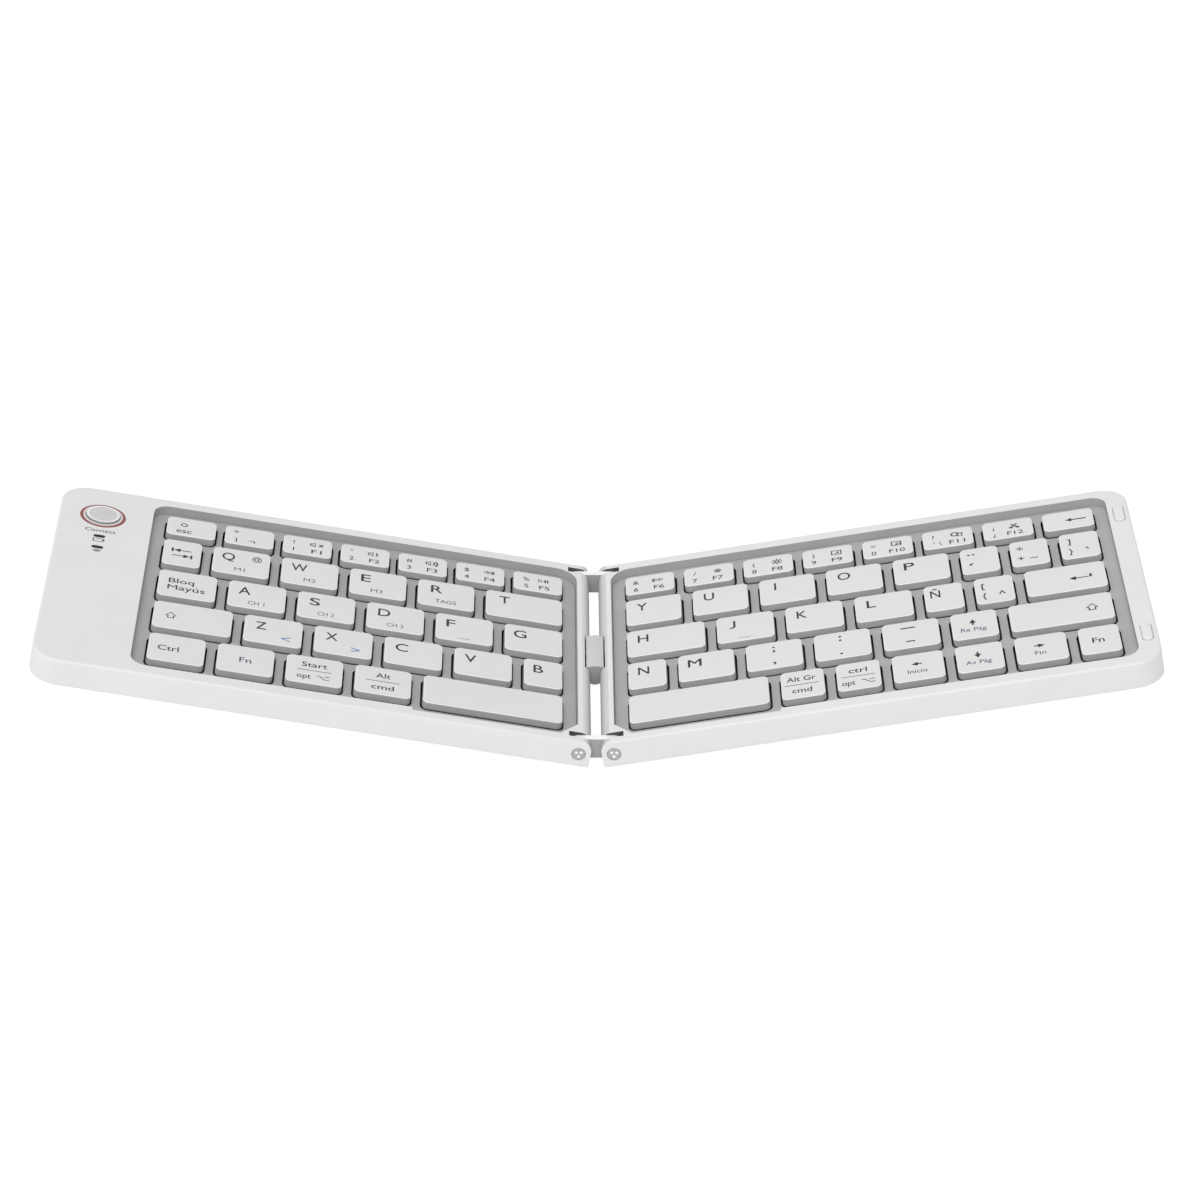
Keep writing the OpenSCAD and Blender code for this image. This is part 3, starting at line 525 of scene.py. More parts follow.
def stroke_mesh(lines, width):
    """Flat ribbons along lines of points; a line that ends where it starts is closed."""
    curve = bpy.data.curves.new("strokes", "CURVE")
    curve.dimensions = "3D"
    curve.twist_mode = "Z_UP"
    curve.bevel_depth = width / 2
    curve.bevel_resolution = 0
    curve.use_fill_caps = True
    for line in lines:
        closed = line[0] == line[-1]
        points = line[:-1] if closed else line
        spline = curve.splines.new("POLY")
        spline.points.add(len(points) - 1)
        for point, (x, y) in zip(spline.points, points):
            point.co = (x, y, 0, 1)
        spline.use_cyclic_u = closed
    mesh = curve_mesh(curve)
    mesh.transform(Matrix.Diagonal((1, 1, PRINT_T / width, 1)))
    return mesh


def arc(cx, cy, r, start, stop, count=9):
    """Points on an arc, its angles in degrees."""
    turns = [math.radians(start + (stop - start) * i / (count - 1)) for i in range(count)]
    return [(cx + r * math.cos(t), cy + r * math.sin(t)) for t in turns]


def circle(cx, cy, r, count=12):
    points = arc(cx, cy, r, 0, 360, count + 1)
    return points[:-1] + [points[0]]


def box(x0, y0, x1, y1):
    return [(x0, y0), (x1, y0), (x1, y1), (x0, y1), (x0, y0)]


PLAY_H = 0.65  # half the height of the play signs


def upright(x, y0, y1):
    return [(x, y0), (x, y1)]


def across(x0, x1, y=0):
    return [(x0, y), (x1, y)]


def play(x, way):
    """A small triangle that points right or left."""
    flat, tip = x - 0.45 * way, x + 0.45 * way
    return [(flat, -PLAY_H), (tip, 0), (flat, PLAY_H), (flat, -PLAY_H)]


def pause_line(x):
    return upright(x, -PLAY_H, PLAY_H)


def rays(inner, outer, count=8):
    steps = [2 * math.pi * i / count for i in range(count)]
    return [[(r * math.cos(t), r * math.sin(t)) for r in (inner, outer)] for t in steps]


SPEAKER = [(-1.5, -0.4), (-1.0, -0.4), (-0.4, -0.85), (-0.4, 0.85), (-1.0, 0.4), (-1.5, 0.4), (-1.5, -0.4)]
HOLLOW_ARROW = [
    (0, 1.6), (1.45, -0.1), (0.8, -0.1), (0.8, -1.3), (-0.8, -1.3), (-0.8, -0.1), (-1.45, -0.1), (0, 1.6),
]

# Each sign is (lines, arrow heads); a head is (x and y of its tip, direction in degrees, size)
SIGNS = {
    "mute": ([SPEAKER, [(0.5, -0.5), (1.4, 0.5)], [(0.5, 0.5), (1.4, -0.5)]], []),
    "quiet": ([SPEAKER, arc(-0.6, 0, 1.2, -40, 40, 6)], []),
    "loud": ([SPEAKER, arc(-0.6, 0, 1.1, -40, 40, 6), arc(-0.6, 0, 1.8, -40, 40, 7)], []),
    "back": ([play(-0.9, -1), play(0.1, -1), pause_line(0.9)], []),
    "pause": ([play(-0.9, 1), pause_line(0.2), pause_line(0.8)], []),
    "next": ([pause_line(-1.4), play(-0.6, 1), play(0.5, 1)], []),
    "dim": ([circle(0, 0, 0.35)] + rays(0.65, 0.9), []),
    "bright": ([circle(0, 0, 0.5)] + rays(0.85, 1.3), []),
    "frame": ([box(-1.1, -0.9, 1.1, 0.9), [(-0.3, -0.3), (0.4, -0.3), (0.4, 0.4)]], []),
    "window": ([box(-1.1, -0.9, 1.1, 0.9), arc(0.4, -0.4, 0.5, 0, 300, 8)], []),
    "copy": ([circle(-0.4, 0.1, 0.8), box(0.2, -0.9, 1.3, 0.5)], []),
    "cut": (
        [
            [(-0.7, 0.9), (0.5, -0.6)], [(0.7, 0.9), (-0.5, -0.6)],
            circle(-0.75, -0.8, 0.3, 8), circle(0.75, -0.8, 0.3, 8),
        ],
        [],
    ),
    "home": ([circle(0, 0, 0.85, 8)], []),
    "shift": ([HOLLOW_ARROW], []),
    "tab": (
        [
            upright(-2.8, 2.5, 0.5), upright(-2.6, 2.5, 0.5), across(-0.8, 2.6, 1.5),
            upright(2.8, -2.5, -0.5), upright(2.6, -2.5, -0.5), across(0.8, -2.6, -1.5),
        ],
        [(-2.3, 1.5, 180, 1.8), (2.3, -1.5, 0, 1.8)],
    ),
    "backspace": ([across(-1.8, 2.9)], [(-3.0, 0, 180, 1.8)]),
    "enter": ([[(-1.9, 0), (2.8, 0), (2.8, 1.4)], upright(2.6, 0.2, 1.4)], [(-3.3, 0, 180, 1.9)]),
    "arrow_up": ([upright(0, -1.4, 0.4)], [(0, 1.5, 90, 1.8)]),
    "arrow_down": ([upright(0, 1.4, -0.4)], [(0, -1.5, 270, 1.8)]),
    "arrow_left": ([across(1.4, -0.2)], [(-1.5, 0, 180, 1.8)]),
    "arrow_right": ([across(-1.4, 0.2)], [(1.5, 0, 0, 1.8)]),
    "letter_j": ([[(0.65, 1.95)] + arc(-0.15, -1.0, 0.8, 0, -125, 9)], []),
    "option": ([[(-1.8, 0.8), (-0.9, 0.8), (0.5, -0.8), (1.8, -0.8)], across(0.4, 1.8, 0.8)], []),
    "battery": ([box(-1.5, -0.8, 1.2, 0.8), upright(1.5, -0.3, 0.3)], []),
    "waves": ([arc(0, -0.7, 0.5, 30, 150, 5), arc(0, -0.7, 1.0, 35, 145, 6), arc(0, -0.7, 1.5, 40, 140, 7)], []),
}


class Print:
    """The marks on one piece, gathered into one thin mesh. x runs right, y up the page."""

    def __init__(self):
        self.bm = bmesh.new()

    def words(self, text, x, y, height, colour, centred=False, width=None, weight=SMALL_WEIGHT):
        """Text with its capitals' tops at y and its left edge or its middle at x."""
        mesh = text_mesh(text, height, weight, width)
        start = x - max(v.co.x for v in mesh.vertices) / 2 if centred else x
        add_mesh(self.bm, mesh, Matrix.Translation((start, y - height, 0)), colour)

    def sign(self, name, x, y, colour, width, scale=1.0):
        """A drawn sign with its middle at x and y."""
        lines, heads = SIGNS[name]
        place = Matrix.Translation((x, y, 0)) @ Matrix.Diagonal((scale, scale, 1, 1))
        add_mesh(self.bm, stroke_mesh(lines, width), place, colour)
        for tip_x, tip_y, way, size in heads:
            radius = size / 1.5
            turn = Matrix.Rotation(math.radians(way), 4, "Z")
            back = Matrix.Translation((-radius, 0, 0)) @ Matrix.Diagonal((1, HEAD_WIDTH, 1, 1))
            made = bmesh.ops.create_cone(
                self.bm, cap_ends=True, segments=3, radius1=radius, radius2=radius, depth=PRINT_T,
                matrix=place @ Matrix.Translation((tip_x, tip_y, 0)) @ turn @ back
                @ Matrix.Rotation(-math.pi / 2, 4, "Z"),
            )
            for face in {f for v in made["verts"] for f in v.link_faces}:
                face.material_index = colour

    def rule(self, start, end, colour, width):
        add_mesh(self.bm, stroke_mesh([[start, end]], width), Matrix.Identity(4), colour)


# ---------- The caps and what is printed on them ----------

# One entry per cap, from the hinge outward: (relative width, node, marks). Places on a cap are
# counted right and down from its back left corner. The marks are
#   ("words" or "middle", text, x, y, height of its capitals, colour, length if it is set)
#   ("sign", name, x, y, colour, stroke width, scale if it isn't 1)
#   ("rule", x0, x1, y, colour, width) and ("rule_up", x, y0, y1, colour, width)

LETTER_AT, LETTER_H = 2.7, 3.9
LABEL_AT, LABEL_H = 10.2, 1.9
SYMBOL_AT, SYMBOL_H = 2.75, 1.9
DIGIT_AT, DIGIT_H = 6.65, 2.0
DIGIT_X, FUNCTION_X = 3.05, 9.6
FUNCTION_AT = 6.6
FUNCTION_L, LONG_FUNCTION_L = 3.0, 4.5
SIGN_AT, SIGN_LINE, SIGN_SCALE = 3.7, 0.42, 1.2
NAME_AT, NAME_H = (3.1, 9.1), 2.4
OPTION_NAME_AT = 9.3
OPTION_X, OPTION_AT = 2.5, 10.5
LINE_HALF, LINE_AT, LINE_W = 4.6, 7.3, 0.28
ARROW_AT, ARROW_LINE = 5.7, 0.56
ARROW_NAME_AT = 8.45
ARROW_SHIFT = 0.2


def letter(char, x0, x1, *more):
    """A cap's letter from x0 to x1, and what else stands on it."""
    return [("words", char, x0, LETTER_AT, LETTER_H, DARK, x1 - x0)] + list(more)


def small(text, x0, x1, colour=PALE):
    """A small label low on the cap."""
    return ("words", text, x0, LABEL_AT, LABEL_H, colour, x1 - x0)


def number(symbol, digit, sign, function, extra=(), x=DIGIT_X, far=FUNCTION_X):
    """A symbol over a digit, and a sign over its function's name."""
    length = FUNCTION_L if len(function) < 3 else LONG_FUNCTION_L
    return [
        ("middle", symbol, x, SYMBOL_AT, SYMBOL_H, INK),
        ("middle", digit, x, DIGIT_AT, DIGIT_H, INK),
        ("sign", sign, far, SIGN_AT, GREY, SIGN_LINE, SIGN_SCALE),
        ("middle", function, far, FUNCTION_AT, DIGIT_H, INK, length),
        *extra,
    ]


def two_lines(upper, upper_w, lower, lower_w, width, option=False):
    """A name above and below a line, the lower one perhaps with the option sign beside it."""
    middle = width / 2
    left = middle - LINE_HALF
    marks = [
        ("middle", upper, middle, NAME_AT[0], NAME_H, DARK, upper_w),
        ("rule", left, middle + LINE_HALF, LINE_AT, GREY, LINE_W),
    ]
    if option:
        return marks + [
            ("words", lower, left, OPTION_NAME_AT, NAME_H, DARK, lower_w),
            ("sign", "option", middle + OPTION_X, OPTION_AT, DARK, 0.32),
        ]
    return marks + [("middle", lower, middle, NAME_AT[1], NAME_H, DARK, lower_w)]


def arrow_key(sign, word, word_w, width):
    """An arrow over a word."""
    middle = width / 2 - ARROW_SHIFT
    return [
        ("sign", sign, middle, ARROW_AT, DARK, ARROW_LINE),
        ("middle", word, middle, ARROW_NAME_AT, LABEL_H, SLATE, word_w),
    ]


CAP_ROWS = {
    LEFT: [
        [
            (14, "left_number_keys", number("%", "5", "pause", "F5", x=3.65, far=8.8)),
            (13.9, "left_number_keys", number("$", "4", "back", "F4")),
            (13.9, "left_number_keys", number("#", "3", "loud", "F3")),
            (13.9, "left_number_keys", number('"', "2", "quiet", "F2")),
            (13.9, "left_number_keys", number("!", "1", "mute", "F1")),
            (13.9, "left_number_keys", [
                ("middle", "°", 3.05, 2.6, 2.9, DARK), ("rule_up", 3.3, 6.6, 8.9, DARK, 0.34),
                ("middle", "¬", 7.7, 6.3, 2.5, DARK),
            ]),
            (13.9, "escape_key", [
                ("sign", "home", 4.8, 4.1, INK, 0.38), ("words", "esc", 2.8, 6.3, 2.4, GREY, 4.3),
            ]),
        ],
        [
            (21.7, "left_upper_letters", letter("T", 3.8, 6.7)),
            (16, "left_upper_letters", letter("R", 3.6, 6.9, small("TAGS", 4.9, 10.9, SLATE))),
            (16, "left_upper_letters", letter("E", 3.1, 5.9, small("M3", 6.0, 9.4))),
            (16, "left_upper_letters", letter("W", 2.7, 7.2, small("M2", 6.4, 9.8))),
            (16, "left_upper_letters", letter(
                "Q", 2.5, 6.1, small("M1", 6.2, 9.2), ("words", "@", 10.9, 2.8, 2.3, DARK, 2.8),
            )),
            (10.7, "tab_key", [("sign", "tab", 5.3, 7.2, DARK, 0.4)]),
        ],
        [
            (16.2, "left_home_letters", letter("G", 2.5, 6.1)),
            # F's pale rule is painted shade along the front of its raised bar.
            (16, "left_home_letters", letter("F", 2.9, 5.4, ("rule", 6.0, 9.4, 12.5, PALE, 0.22))),
            (16, "left_home_letters", letter("D", 3.1, 6.5, small("CH 3", 5.7, 10.3))),
            (16, "left_home_letters", letter("S", 3.3, 6.2, small("CH 2", 5.7, 10.3))),
            (16, "left_home_letters", letter("A", 2.8, 6.2, small("CH 1", 5.7, 10.3))),
            (16.1, "caps_lock_key", [
                ("words", "Bloq", 2.8, 4.2, 2.5, INK, 7.1), ("words", "Mayús", 2.7, 7.9, 2.5, INK, 10.4),
            ]),
        ],
        [
            (10.7, "left_lower_letters", letter("B", 2.6, 5.3)),
            (16, "left_lower_letters", letter("V", 2.8, 6.1)),
            (16, "left_lower_letters", letter("C", 3.0, 6.5)),
            (16, "left_lower_letters", letter("X", 3.0, 6.4, ("words", ">", 10.2, 8.4, 3.2, BLUE, 2.5))),
            (16, "left_lower_letters", letter("Z", 3.1, 6.1, ("words", "<", 10.3, 8.4, 3.2, BLUE, 2.5))),
            (21.6, "left_shift_key", [("sign", "shift", 4.85, 7.2, DARK, 0.46)]),
        ],
        [
            (38.1, "left_space_key", []),
            (15.4, "left_alt_key", two_lines("Alt", 4.0, "cmd", 6.2, 15.3)),
            (15.4, "left_option_key", two_lines("Start", 7.0, "opt", 3.8, 15.3, option=True)),
            (15.4, "left_function_key", [("middle", "Fn", 7.65, 6.0, 2.6, SLATE)]),
            (15.4, "left_control_key", [("words", "Ctrl", 2.65, 6.05, 2.5, DARK, 5.7)]),
        ],
    ],
    RIGHT: [
        [
            (14, "right_number_keys", number("&", "6", "next", "F6")),
            (14.1, "right_number_keys", number("/", "7", "dim", "F7")),
            (14.1, "right_number_keys", number("(", "8", "bright", "F8")),
            (14.2, "right_number_keys", number(")", "9", "frame", "F9")),
            (14.2, "right_number_keys", number("=", "0", "window", "F10")),
            (14.2, "right_number_keys", number(
                "?", "'", "copy", "F11", [("middle", "\\", 4.9, 6.7, 2.0, GREY)],
            )),
            (14.1, "right_number_keys", number("¡", "¿", "cut", "F12", far=8.9)),
            (14.2, "backspace_key", [("sign", "backspace", 9.2, 5.4, DARK, 0.56)]),
        ],
        [
            (15.6, "right_upper_letters", letter("Y", 3.0, 6.0)),
            (15.6, "right_upper_letters", letter("U", 3.2, 6.1)),
            (15.6, "right_upper_letters", letter("I", 4.22, 4.78)),
            (15.6, "right_upper_letters", letter("O", 3.2, 6.8)),
            (15.6, "right_upper_letters", letter("P", 3.0, 6.0)),
            (10.6, "symbol_keys", [("middle", "¨", 3.0, 2.9, 4.8, DARK), ("middle", "´", 2.8, 8.3, 5.0, DARK)]),
            (10.6, "symbol_keys", [
                ("middle", "*", 2.8, 3.6, 3.0, DARK), ("middle", "+", 2.7, 8.6, 2.6, DARK),
                ("middle", "~", 6.3, 8.6, 2.8, DARK),
            ]),
            (10.8, "symbol_keys", [
                ("middle", "]", 2.6, 3.2, 2.6, DARK), ("middle", "}", 2.7, 8.9, 2.6, DARK),
                ("middle", "`", 7.2, 8.7, 4.4, DARK),
            ]),
        ],
        [
            (21.8, "right_home_letters", letter("H", 3.0, 6.0)),
            (16, "right_home_letters", [
                # The pale rule is painted shade along the front of the raised bar.
                ("sign", "letter_j", 4.35, 4.9, DARK, 0.62), ("rule", 6.0, 9.4, 12.55, PALE, 0.22),
            ]),
            (16, "right_home_letters", letter("K", 3.1, 6.0)),
            (16, "right_home_letters", letter("L", 3.3, 5.8)),
            (10.7, "right_home_letters", letter("Ñ", 1.7, 4.5)),
            (10.7, "symbol_keys", [
                ("middle", "[", 2.4, 3.3, 2.6, DARK), ("middle", "{", 2.4, 8.7, 2.6, DARK),
                ("middle", "^", 7.3, 8.4, 3.0, DARK),
            ]),
            (22.1, "enter_key", [("sign", "enter", 15.2, 7.7, DARK, 0.52)]),
        ],
        [
            (10.6, "right_lower_letters", letter("N", 2.8, 5.9)),
            (15.5, "right_lower_letters", letter("M", 2.7, 6.5)),
            (15.5, "symbol_keys", [("middle", ";", 7.7, 1.6, 3.7, DARK), ("middle", ",", 7.7, 7.7, 4.0, DARK)]),
            (15.5, "symbol_keys", [("rule", 6.85, 7.55, y, DARK, 0.8) for y in (2.7, 4.65, 11.8)]),
            (15.5, "symbol_keys", [("rule", 5.0, 9.1, 3.5, DARK, 0.6), ("rule", 6.1, 8.6, 10.75, DARK, 0.6)]),
            (12.6, "up_arrow_key", arrow_key("arrow_up", "Re Pág", 7.0, 12.2)),
            (28.2, "right_shift_key", [("sign", "shift", 22.5, 7.1, DARK, 0.5, 1.08)]),
        ],
        [
            (38.1, "right_space_key", []),
            (11.8, "right_modifier_keys", two_lines("Alt Gr", 7.9, "cmd", 5.4, 11.2)),
            (11.9, "right_modifier_keys", two_lines("ctrl", 5.0, "opt", 3.6, 11.8, option=True)),
            (13.9, "left_arrow_key", arrow_key("arrow_left", "Inicio", 5.4, 13.6)),
            (12.7, "down_arrow_key", arrow_key("arrow_down", "Av Pág", 7.0, 12.2)),
            (13.9, "right_arrow_key", arrow_key("arrow_right", "Fin", 3.0, 13.4)),
            (10.9, "right_modifier_keys", [("middle", "Fn", 5.0, 6.0, 2.6, DARK)]),
        ],
    ],
}


def cap_places(side, row):
    """Each cap of a row as (left edge u, back edge v, width), from the hinge outward."""
    widths = [width for width, _, _ in CAP_ROWS[side][row]]
    gap = NUMBER_GAP[side] if row == NUMBER_ROW else CAP_GAP
    scale = (FIELD_L[side] - gap * (len(widths) - 1)) / sum(widths)
    back = FIELD_V[1] if row == NUMBER_ROW else FIELD_V[0] + (SPACE_ROW - row) * (CAP_D + CAP_GAP) + CAP_D
    out = FIELD_X
    places = []
    for width in widths:
        width *= scale
        places.append((out if side == RIGHT else -out - width, back, width))
        out += width + gap
    return places


def draw(page, mark, left, back, row):
    """Puts one mark of the cap whose back left corner is at left and back on its page."""
    kind, *rest = mark
    if kind in ("words", "middle"):
        text, x, y, height, colour, *width = rest
        big = height > BIG_TYPE
        weight = LETTER_WEIGHT if big or len(text) == 1 and colour == DARK else SMALL_WEIGHT
        drop = LETTER_DROP[row] if big and kind == "words" else 0.0
        page.words(text, left + x, back - y - drop, height, colour, kind == "middle", *width, weight=weight)
    elif kind == "sign":
        name, x, y, colour, width, *scale = rest
        page.sign(name, left + x, back - y, colour, width, *scale)
    elif kind == "rule":
        x0, x1, y, colour, width = rest
        page.rule((left + x0, back - y), (left + x1, back - y), colour, width)
    elif kind == "rule_up":
        x, y0, y1, colour, width = rest
        page.rule((left + x, back - y0), (left + x, back - y1), colour, width)


def print_caps(side):
    """One print for each node of caps, which rides with it."""
    pages = {}
    for row, caps in enumerate(CAP_ROWS[side]):
        for (left, back, _), (_, node, marks) in zip(cap_places(side, row), caps):
            page = pages.setdefault(node, Print())
            for mark in marks:
                draw(page, mark, left, back, row)
    lift = Matrix.Translation((0, 0, CAP_Z + PRINT_LIFT))
    for node, page in pages.items():
        if len(page.bm.faces):
            finish_piece(node + "_print", page.bm, HALF[side] @ lift, INKS, node, smooth=False)


def homing_bar(side):
    """The raised bar that a finger finds on one cap of the home row."""
    left, back, _ = cap_places(side, HOME_ROW)[BAR_CAP]
    node = CAP_ROWS[side][HOME_ROW][BAR_CAP][1]
    bm = bmesh.new()
    bmesh.ops.create_cube(bm, size=1, matrix=Matrix.Diagonal((*BAR_SIZE, 1)))
    bevel(bm, [e for e in bm.edges if abs(e.verts[0].co.z - e.verts[1].co.z) > 0.1], BAR_CORNER, 4)
    bevel(bm, [e for e in bm.edges if all(v.co.z > 0.2 for v in e.verts)], BAR_EDGE, 3)
    place = HALF[side] @ Matrix.Translation((left + BAR_AT[0], back - BAR_AT[1], CAP_Z - BAR_SEAT))
    finish_piece(node + "_bar", bm, place, CAPS[side], node)


def print_strip():
    """The word under the connect button, and a sign under each window."""
    page = Print()
    page.words("Connect", BUTTON_U, BUTTON_V - WORD_DROP, WORD_H, GREY, True, WORD_L)
    for lens_v, (name, width) in zip(LENS_V, LENS_SIGNS):
        page.sign(name, BUTTON_U, lens_v - SIGN_DROP, GREY, width)
    lift = Matrix.Translation((0, 0, SHELL_T + PRINT_LIFT))
    finish_piece("strip_print", page.bm, HALF[LEFT] @ lift, INKS, "left_half", smooth=False)


# ---------- Dressing the frame ----------


def smooth_nodes():
    """Rounded faces shade as round, and real edges stay sharp."""
    for node in NODES.values():
        for polygon in node.data.polygons:
            polygon.use_smooth = True
        weld = node.modifiers.new("weld", "WELD")
        weld.merge_threshold = 1e-6
        split = node.modifiers.new("edges", "EDGE_SPLIT")
        split.split_angle = NODE_SHARP


def paint(material, *names):
    """Gives those nodes that material alone."""
    for name in names:
        NODES[name].data.materials.clear()
        NODES[name].data.materials.append(material)


def paint_faces(name, material, chosen, *side):
    """Gives one more material to the faces of a node that chosen() picks."""
    mesh = NODES[name].data
    mesh.materials.append(material)
    for polygon in mesh.polygons:
        if chosen(polygon, *side):
            polygon.material_index = len(mesh.materials) - 1


def dress_nodes():
    """Materials for the solids of the frame that are shown as they are."""
    paint(STEEL, "pivot_screws", "spring_washers", "charging_socket")
    paint(LINK, "front_link", "rear_link")
    paint(BOARD, "circuit_board")
    paint(FOIL, "battery")
    paint(LEAD, "battery_leads")
    paint(BLACK, "tact_switch")
    paint(button_material(), "connect_button")
    paint(RING, "button_ring")
    paint(LENS, "indicator_lenses")
    for side in SIDES:
        hand = HAND[side]
        frame_node, tray = hand + "_top_frame", hand + "_key_tray"
        paint(SHELL, frame_node, hand + "_bottom_cover")
        paint(PLATE, hand + "_steel_plate")
        paint(FILM_IN_SHADE, hand + "_membrane")
        paint(STEEL, hand + "_case_screws")
        paint(NICKEL, hand + "_magnets")
        paint(DECK[side], tray)
        paint(CAPS[side], *{node for row in CAP_ROWS[side] for _, node, _ in row})
        paint_faces(tray, SLOT, in_slot, side)
        paint_faces(frame_node, DECK[side], in_well, side)
        paint_faces(frame_node, POCKET, in_pocket, side)
        # The rail's rounded side takes its painted shade.
        paint_faces(frame_node, RAIL_SHADE[side], on_rail, side)
    # The links' upper faces are painted as lit.
    paint_faces("front_link", LINK_LIT_TOP, faces_up)
    paint_faces("rear_link", LINK_LIT_TOP, faces_up)
    # The screw heads' lobes take the painted highlight.
    paint_faces("pivot_screws", LOBE_HIGHLIGHT, in_lobe)


def flat_face(face, side):
    """A face's middle and normal in its flat half, with u measured outward."""
    middle = HALF[side].inverted() @ Vector(face.center)
    normal = Matrix.Rotation(side * FOLD, 3, "Y") @ Vector(face.normal)
    return side * middle.x, middle.y, middle.z, side * normal.x, normal.z


def in_well(face, side):
    """The upright wall round the deck."""
    u, v, z, _, up = flat_face(face, side)
    near = 0.1
    pocket = u < POCKET_U + near and abs(v) > POCKET_V[0] - near
    return (
        abs(up) < 0.2 and z > DECK_Z - 1 and not pocket
        and WELL_U[0] - near < u < WELL_U[1][side] + near and WELL_V[0] - near < v < WELL_V[1] + near
    )


def in_slot(face, side):
    """The walls of the slots round the caps."""
    u, v, z, _, up = flat_face(face, side)
    near = 1.2
    return (
        abs(up) < 0.5 and z > DECK_Z - near and FIELD_X - near < u < FIELD_X + FIELD_L[side] + near
        and FIELD_V[0] - near < v < FIELD_V[1] + near
    )


def in_pocket(face, side):
    """The inside of the two pockets that the links turn in."""
    u, v, z = flat_face(face, side)[:3]
    near = 0.05
    return u < POCKET_U + near and POCKET_V[0] - near < abs(v) < POCKET_V[1] + near and 0.3 < z < 0.95 * SHELL_T


def on_rail(face, side):
    """The rounded upper side of the hinge rail and the upright below it."""
    u, v, z, out, up = flat_face(face, side)
    return u < RAIL_SIDE_U and out < -0.1 and abs(v) < BODY_D / 2 - 0.1 and z > 2 and up > -0.1


def faces_up(face):
    """The upper side of a link, which takes the painted light."""
    return face.normal.z > 0.4


def in_lobe(face):
    """The floors and walls of the three lobes sunk in a pivot screw's head."""
    x = abs(face.center.x) / MM - PIVOT_X
    z = face.center.z / MM - PIVOT_Z
    depth = BODY_D / 2 - abs(face.center.y) / MM
    floor = abs(face.normal.y) > 0.9 and LOBE_DEPTH[0] < depth < LOBE_DEPTH[1]
    wall = abs(face.normal.y) < 0.3 and 0.02 < depth < LOBE_DEPTH[1]
    return math.hypot(x, z) < LOBE_REACH and (floor or wall)


# ---------- Soft pieces ----------


def crown_section(bm):
    """Turns the upper half of a round section into a box with rounded corners under a crown."""
    _, width, height = BOOT_SIZE
    round_r = width / 2
    squareness, rise = 0.3, 1.8
    low = round_r - height / 2
    for vert in bm.verts:
        x, z = vert.co.x, vert.co.z
        if z > 0:
            wide = math.copysign((abs(x) / round_r) ** squareness * round_r, x) if abs(x) > 1e-6 else 0.0
            top = height / 2 - BOOT_CROWN + math.sqrt(BOOT_CROWN**2 - wide**2)
            vert.co.x = wide
            vert.co.z = low + min(1.0, z / round_r * rise) * (top - low)
        else:
            vert.co.z = z + low


def make_boot():
    """The soft sleeve round the cable, as a left and a right half."""
    length, width, _ = BOOT_SIZE
    for side in SIDES:
        bm = bmesh.new()
        bmesh.ops.create_circle(
            bm, cap_ends=True, segments=48, radius=width / 2, matrix=Matrix.Rotation(math.pi / 2, 4, "X")
        )
        crown_section(bm)
        raise_face(bm, (0, length, 0))
        bmesh.ops.translate(bm, verts=bm.verts, vec=(0, -length / 2, 0))
        rims = []
        for edge in bm.edges:
            y0, y1 = (v.co.y for v in edge.verts)
            if abs(abs(y0) - length / 2) < 1e-4 and abs(y0 - y1) < 1e-4:
                rims.append(edge)
        bevel(bm, rims, BOOT_CORNER, 4)
        bmesh.ops.bisect_plane(
            bm, geom=list(bm.verts) + list(bm.edges) + list(bm.faces), dist=1e-5,
            plane_co=(0, 0, 0), plane_no=(-side, 0, 0), clear_outer=True,
        )
        bmesh.ops.holes_fill(bm, edges=[e for e in bm.edges if e.is_boundary])
        place = HINGE @ Matrix.Translation((0, BOOT_V, BOOT_Z))
        piece = finish_piece(
            "boot_" + HAND[side], bm, place, [BOOT, BOOT_END_SHADE], "hinge", ["cable_boot"]
        )
        # The end faces take the boot's painted shade.
        for polygon in piece.data.polygons:
            if abs(polygon.normal.y) > 0.6:
                polygon.material_index = 1
        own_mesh(piece)


def make_domes():
    """The silicone sheets, and the domes of each group of keys."""
    height = DOME_TOP_Z - DOME_GAP - DOME_SHEET_Z
    for side in SIDES:
        half, hand = HALF_BODY[side], HAND[side]
        domes = hand + "_domes"
        sheet = bmesh.new()
        sheet.from_mesh(NODES[domes].data)
        sheet.transform(HALF[side].inverted())
        for vert in sheet.verts:
            vert.co.z = min(vert.co.z, DOME_SHEET_Z + SHEET_SINK)
        finish_piece(hand + "_dome_sheet", sheet, HALF[side], DOME_IN_SHADE, half, [domes], smooth=False)
        groups = {}
        for row, caps in enumerate(CAP_ROWS[side]):
            depth = NUMBER_CAP_D if row == NUMBER_ROW else CAP_D
            for (left, back, width), (_, node, _) in zip(cap_places(side, row), caps):
                middle = (left + width / 2, back - depth / 2, DOME_SHEET_Z + height / 2)
                bmesh.ops.create_cone(
                    groups.setdefault(node, bmesh.new()), cap_ends=True, segments=32,
                    radius1=DOME_R[0], radius2=DOME_R[1], depth=height, matrix=Matrix.Translation(middle),
                )
        for node, bm in groups.items():
            piece = finish_piece(node + "_domes", bm, HALF[side], DOME_IN_SHADE, half)
            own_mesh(piece)


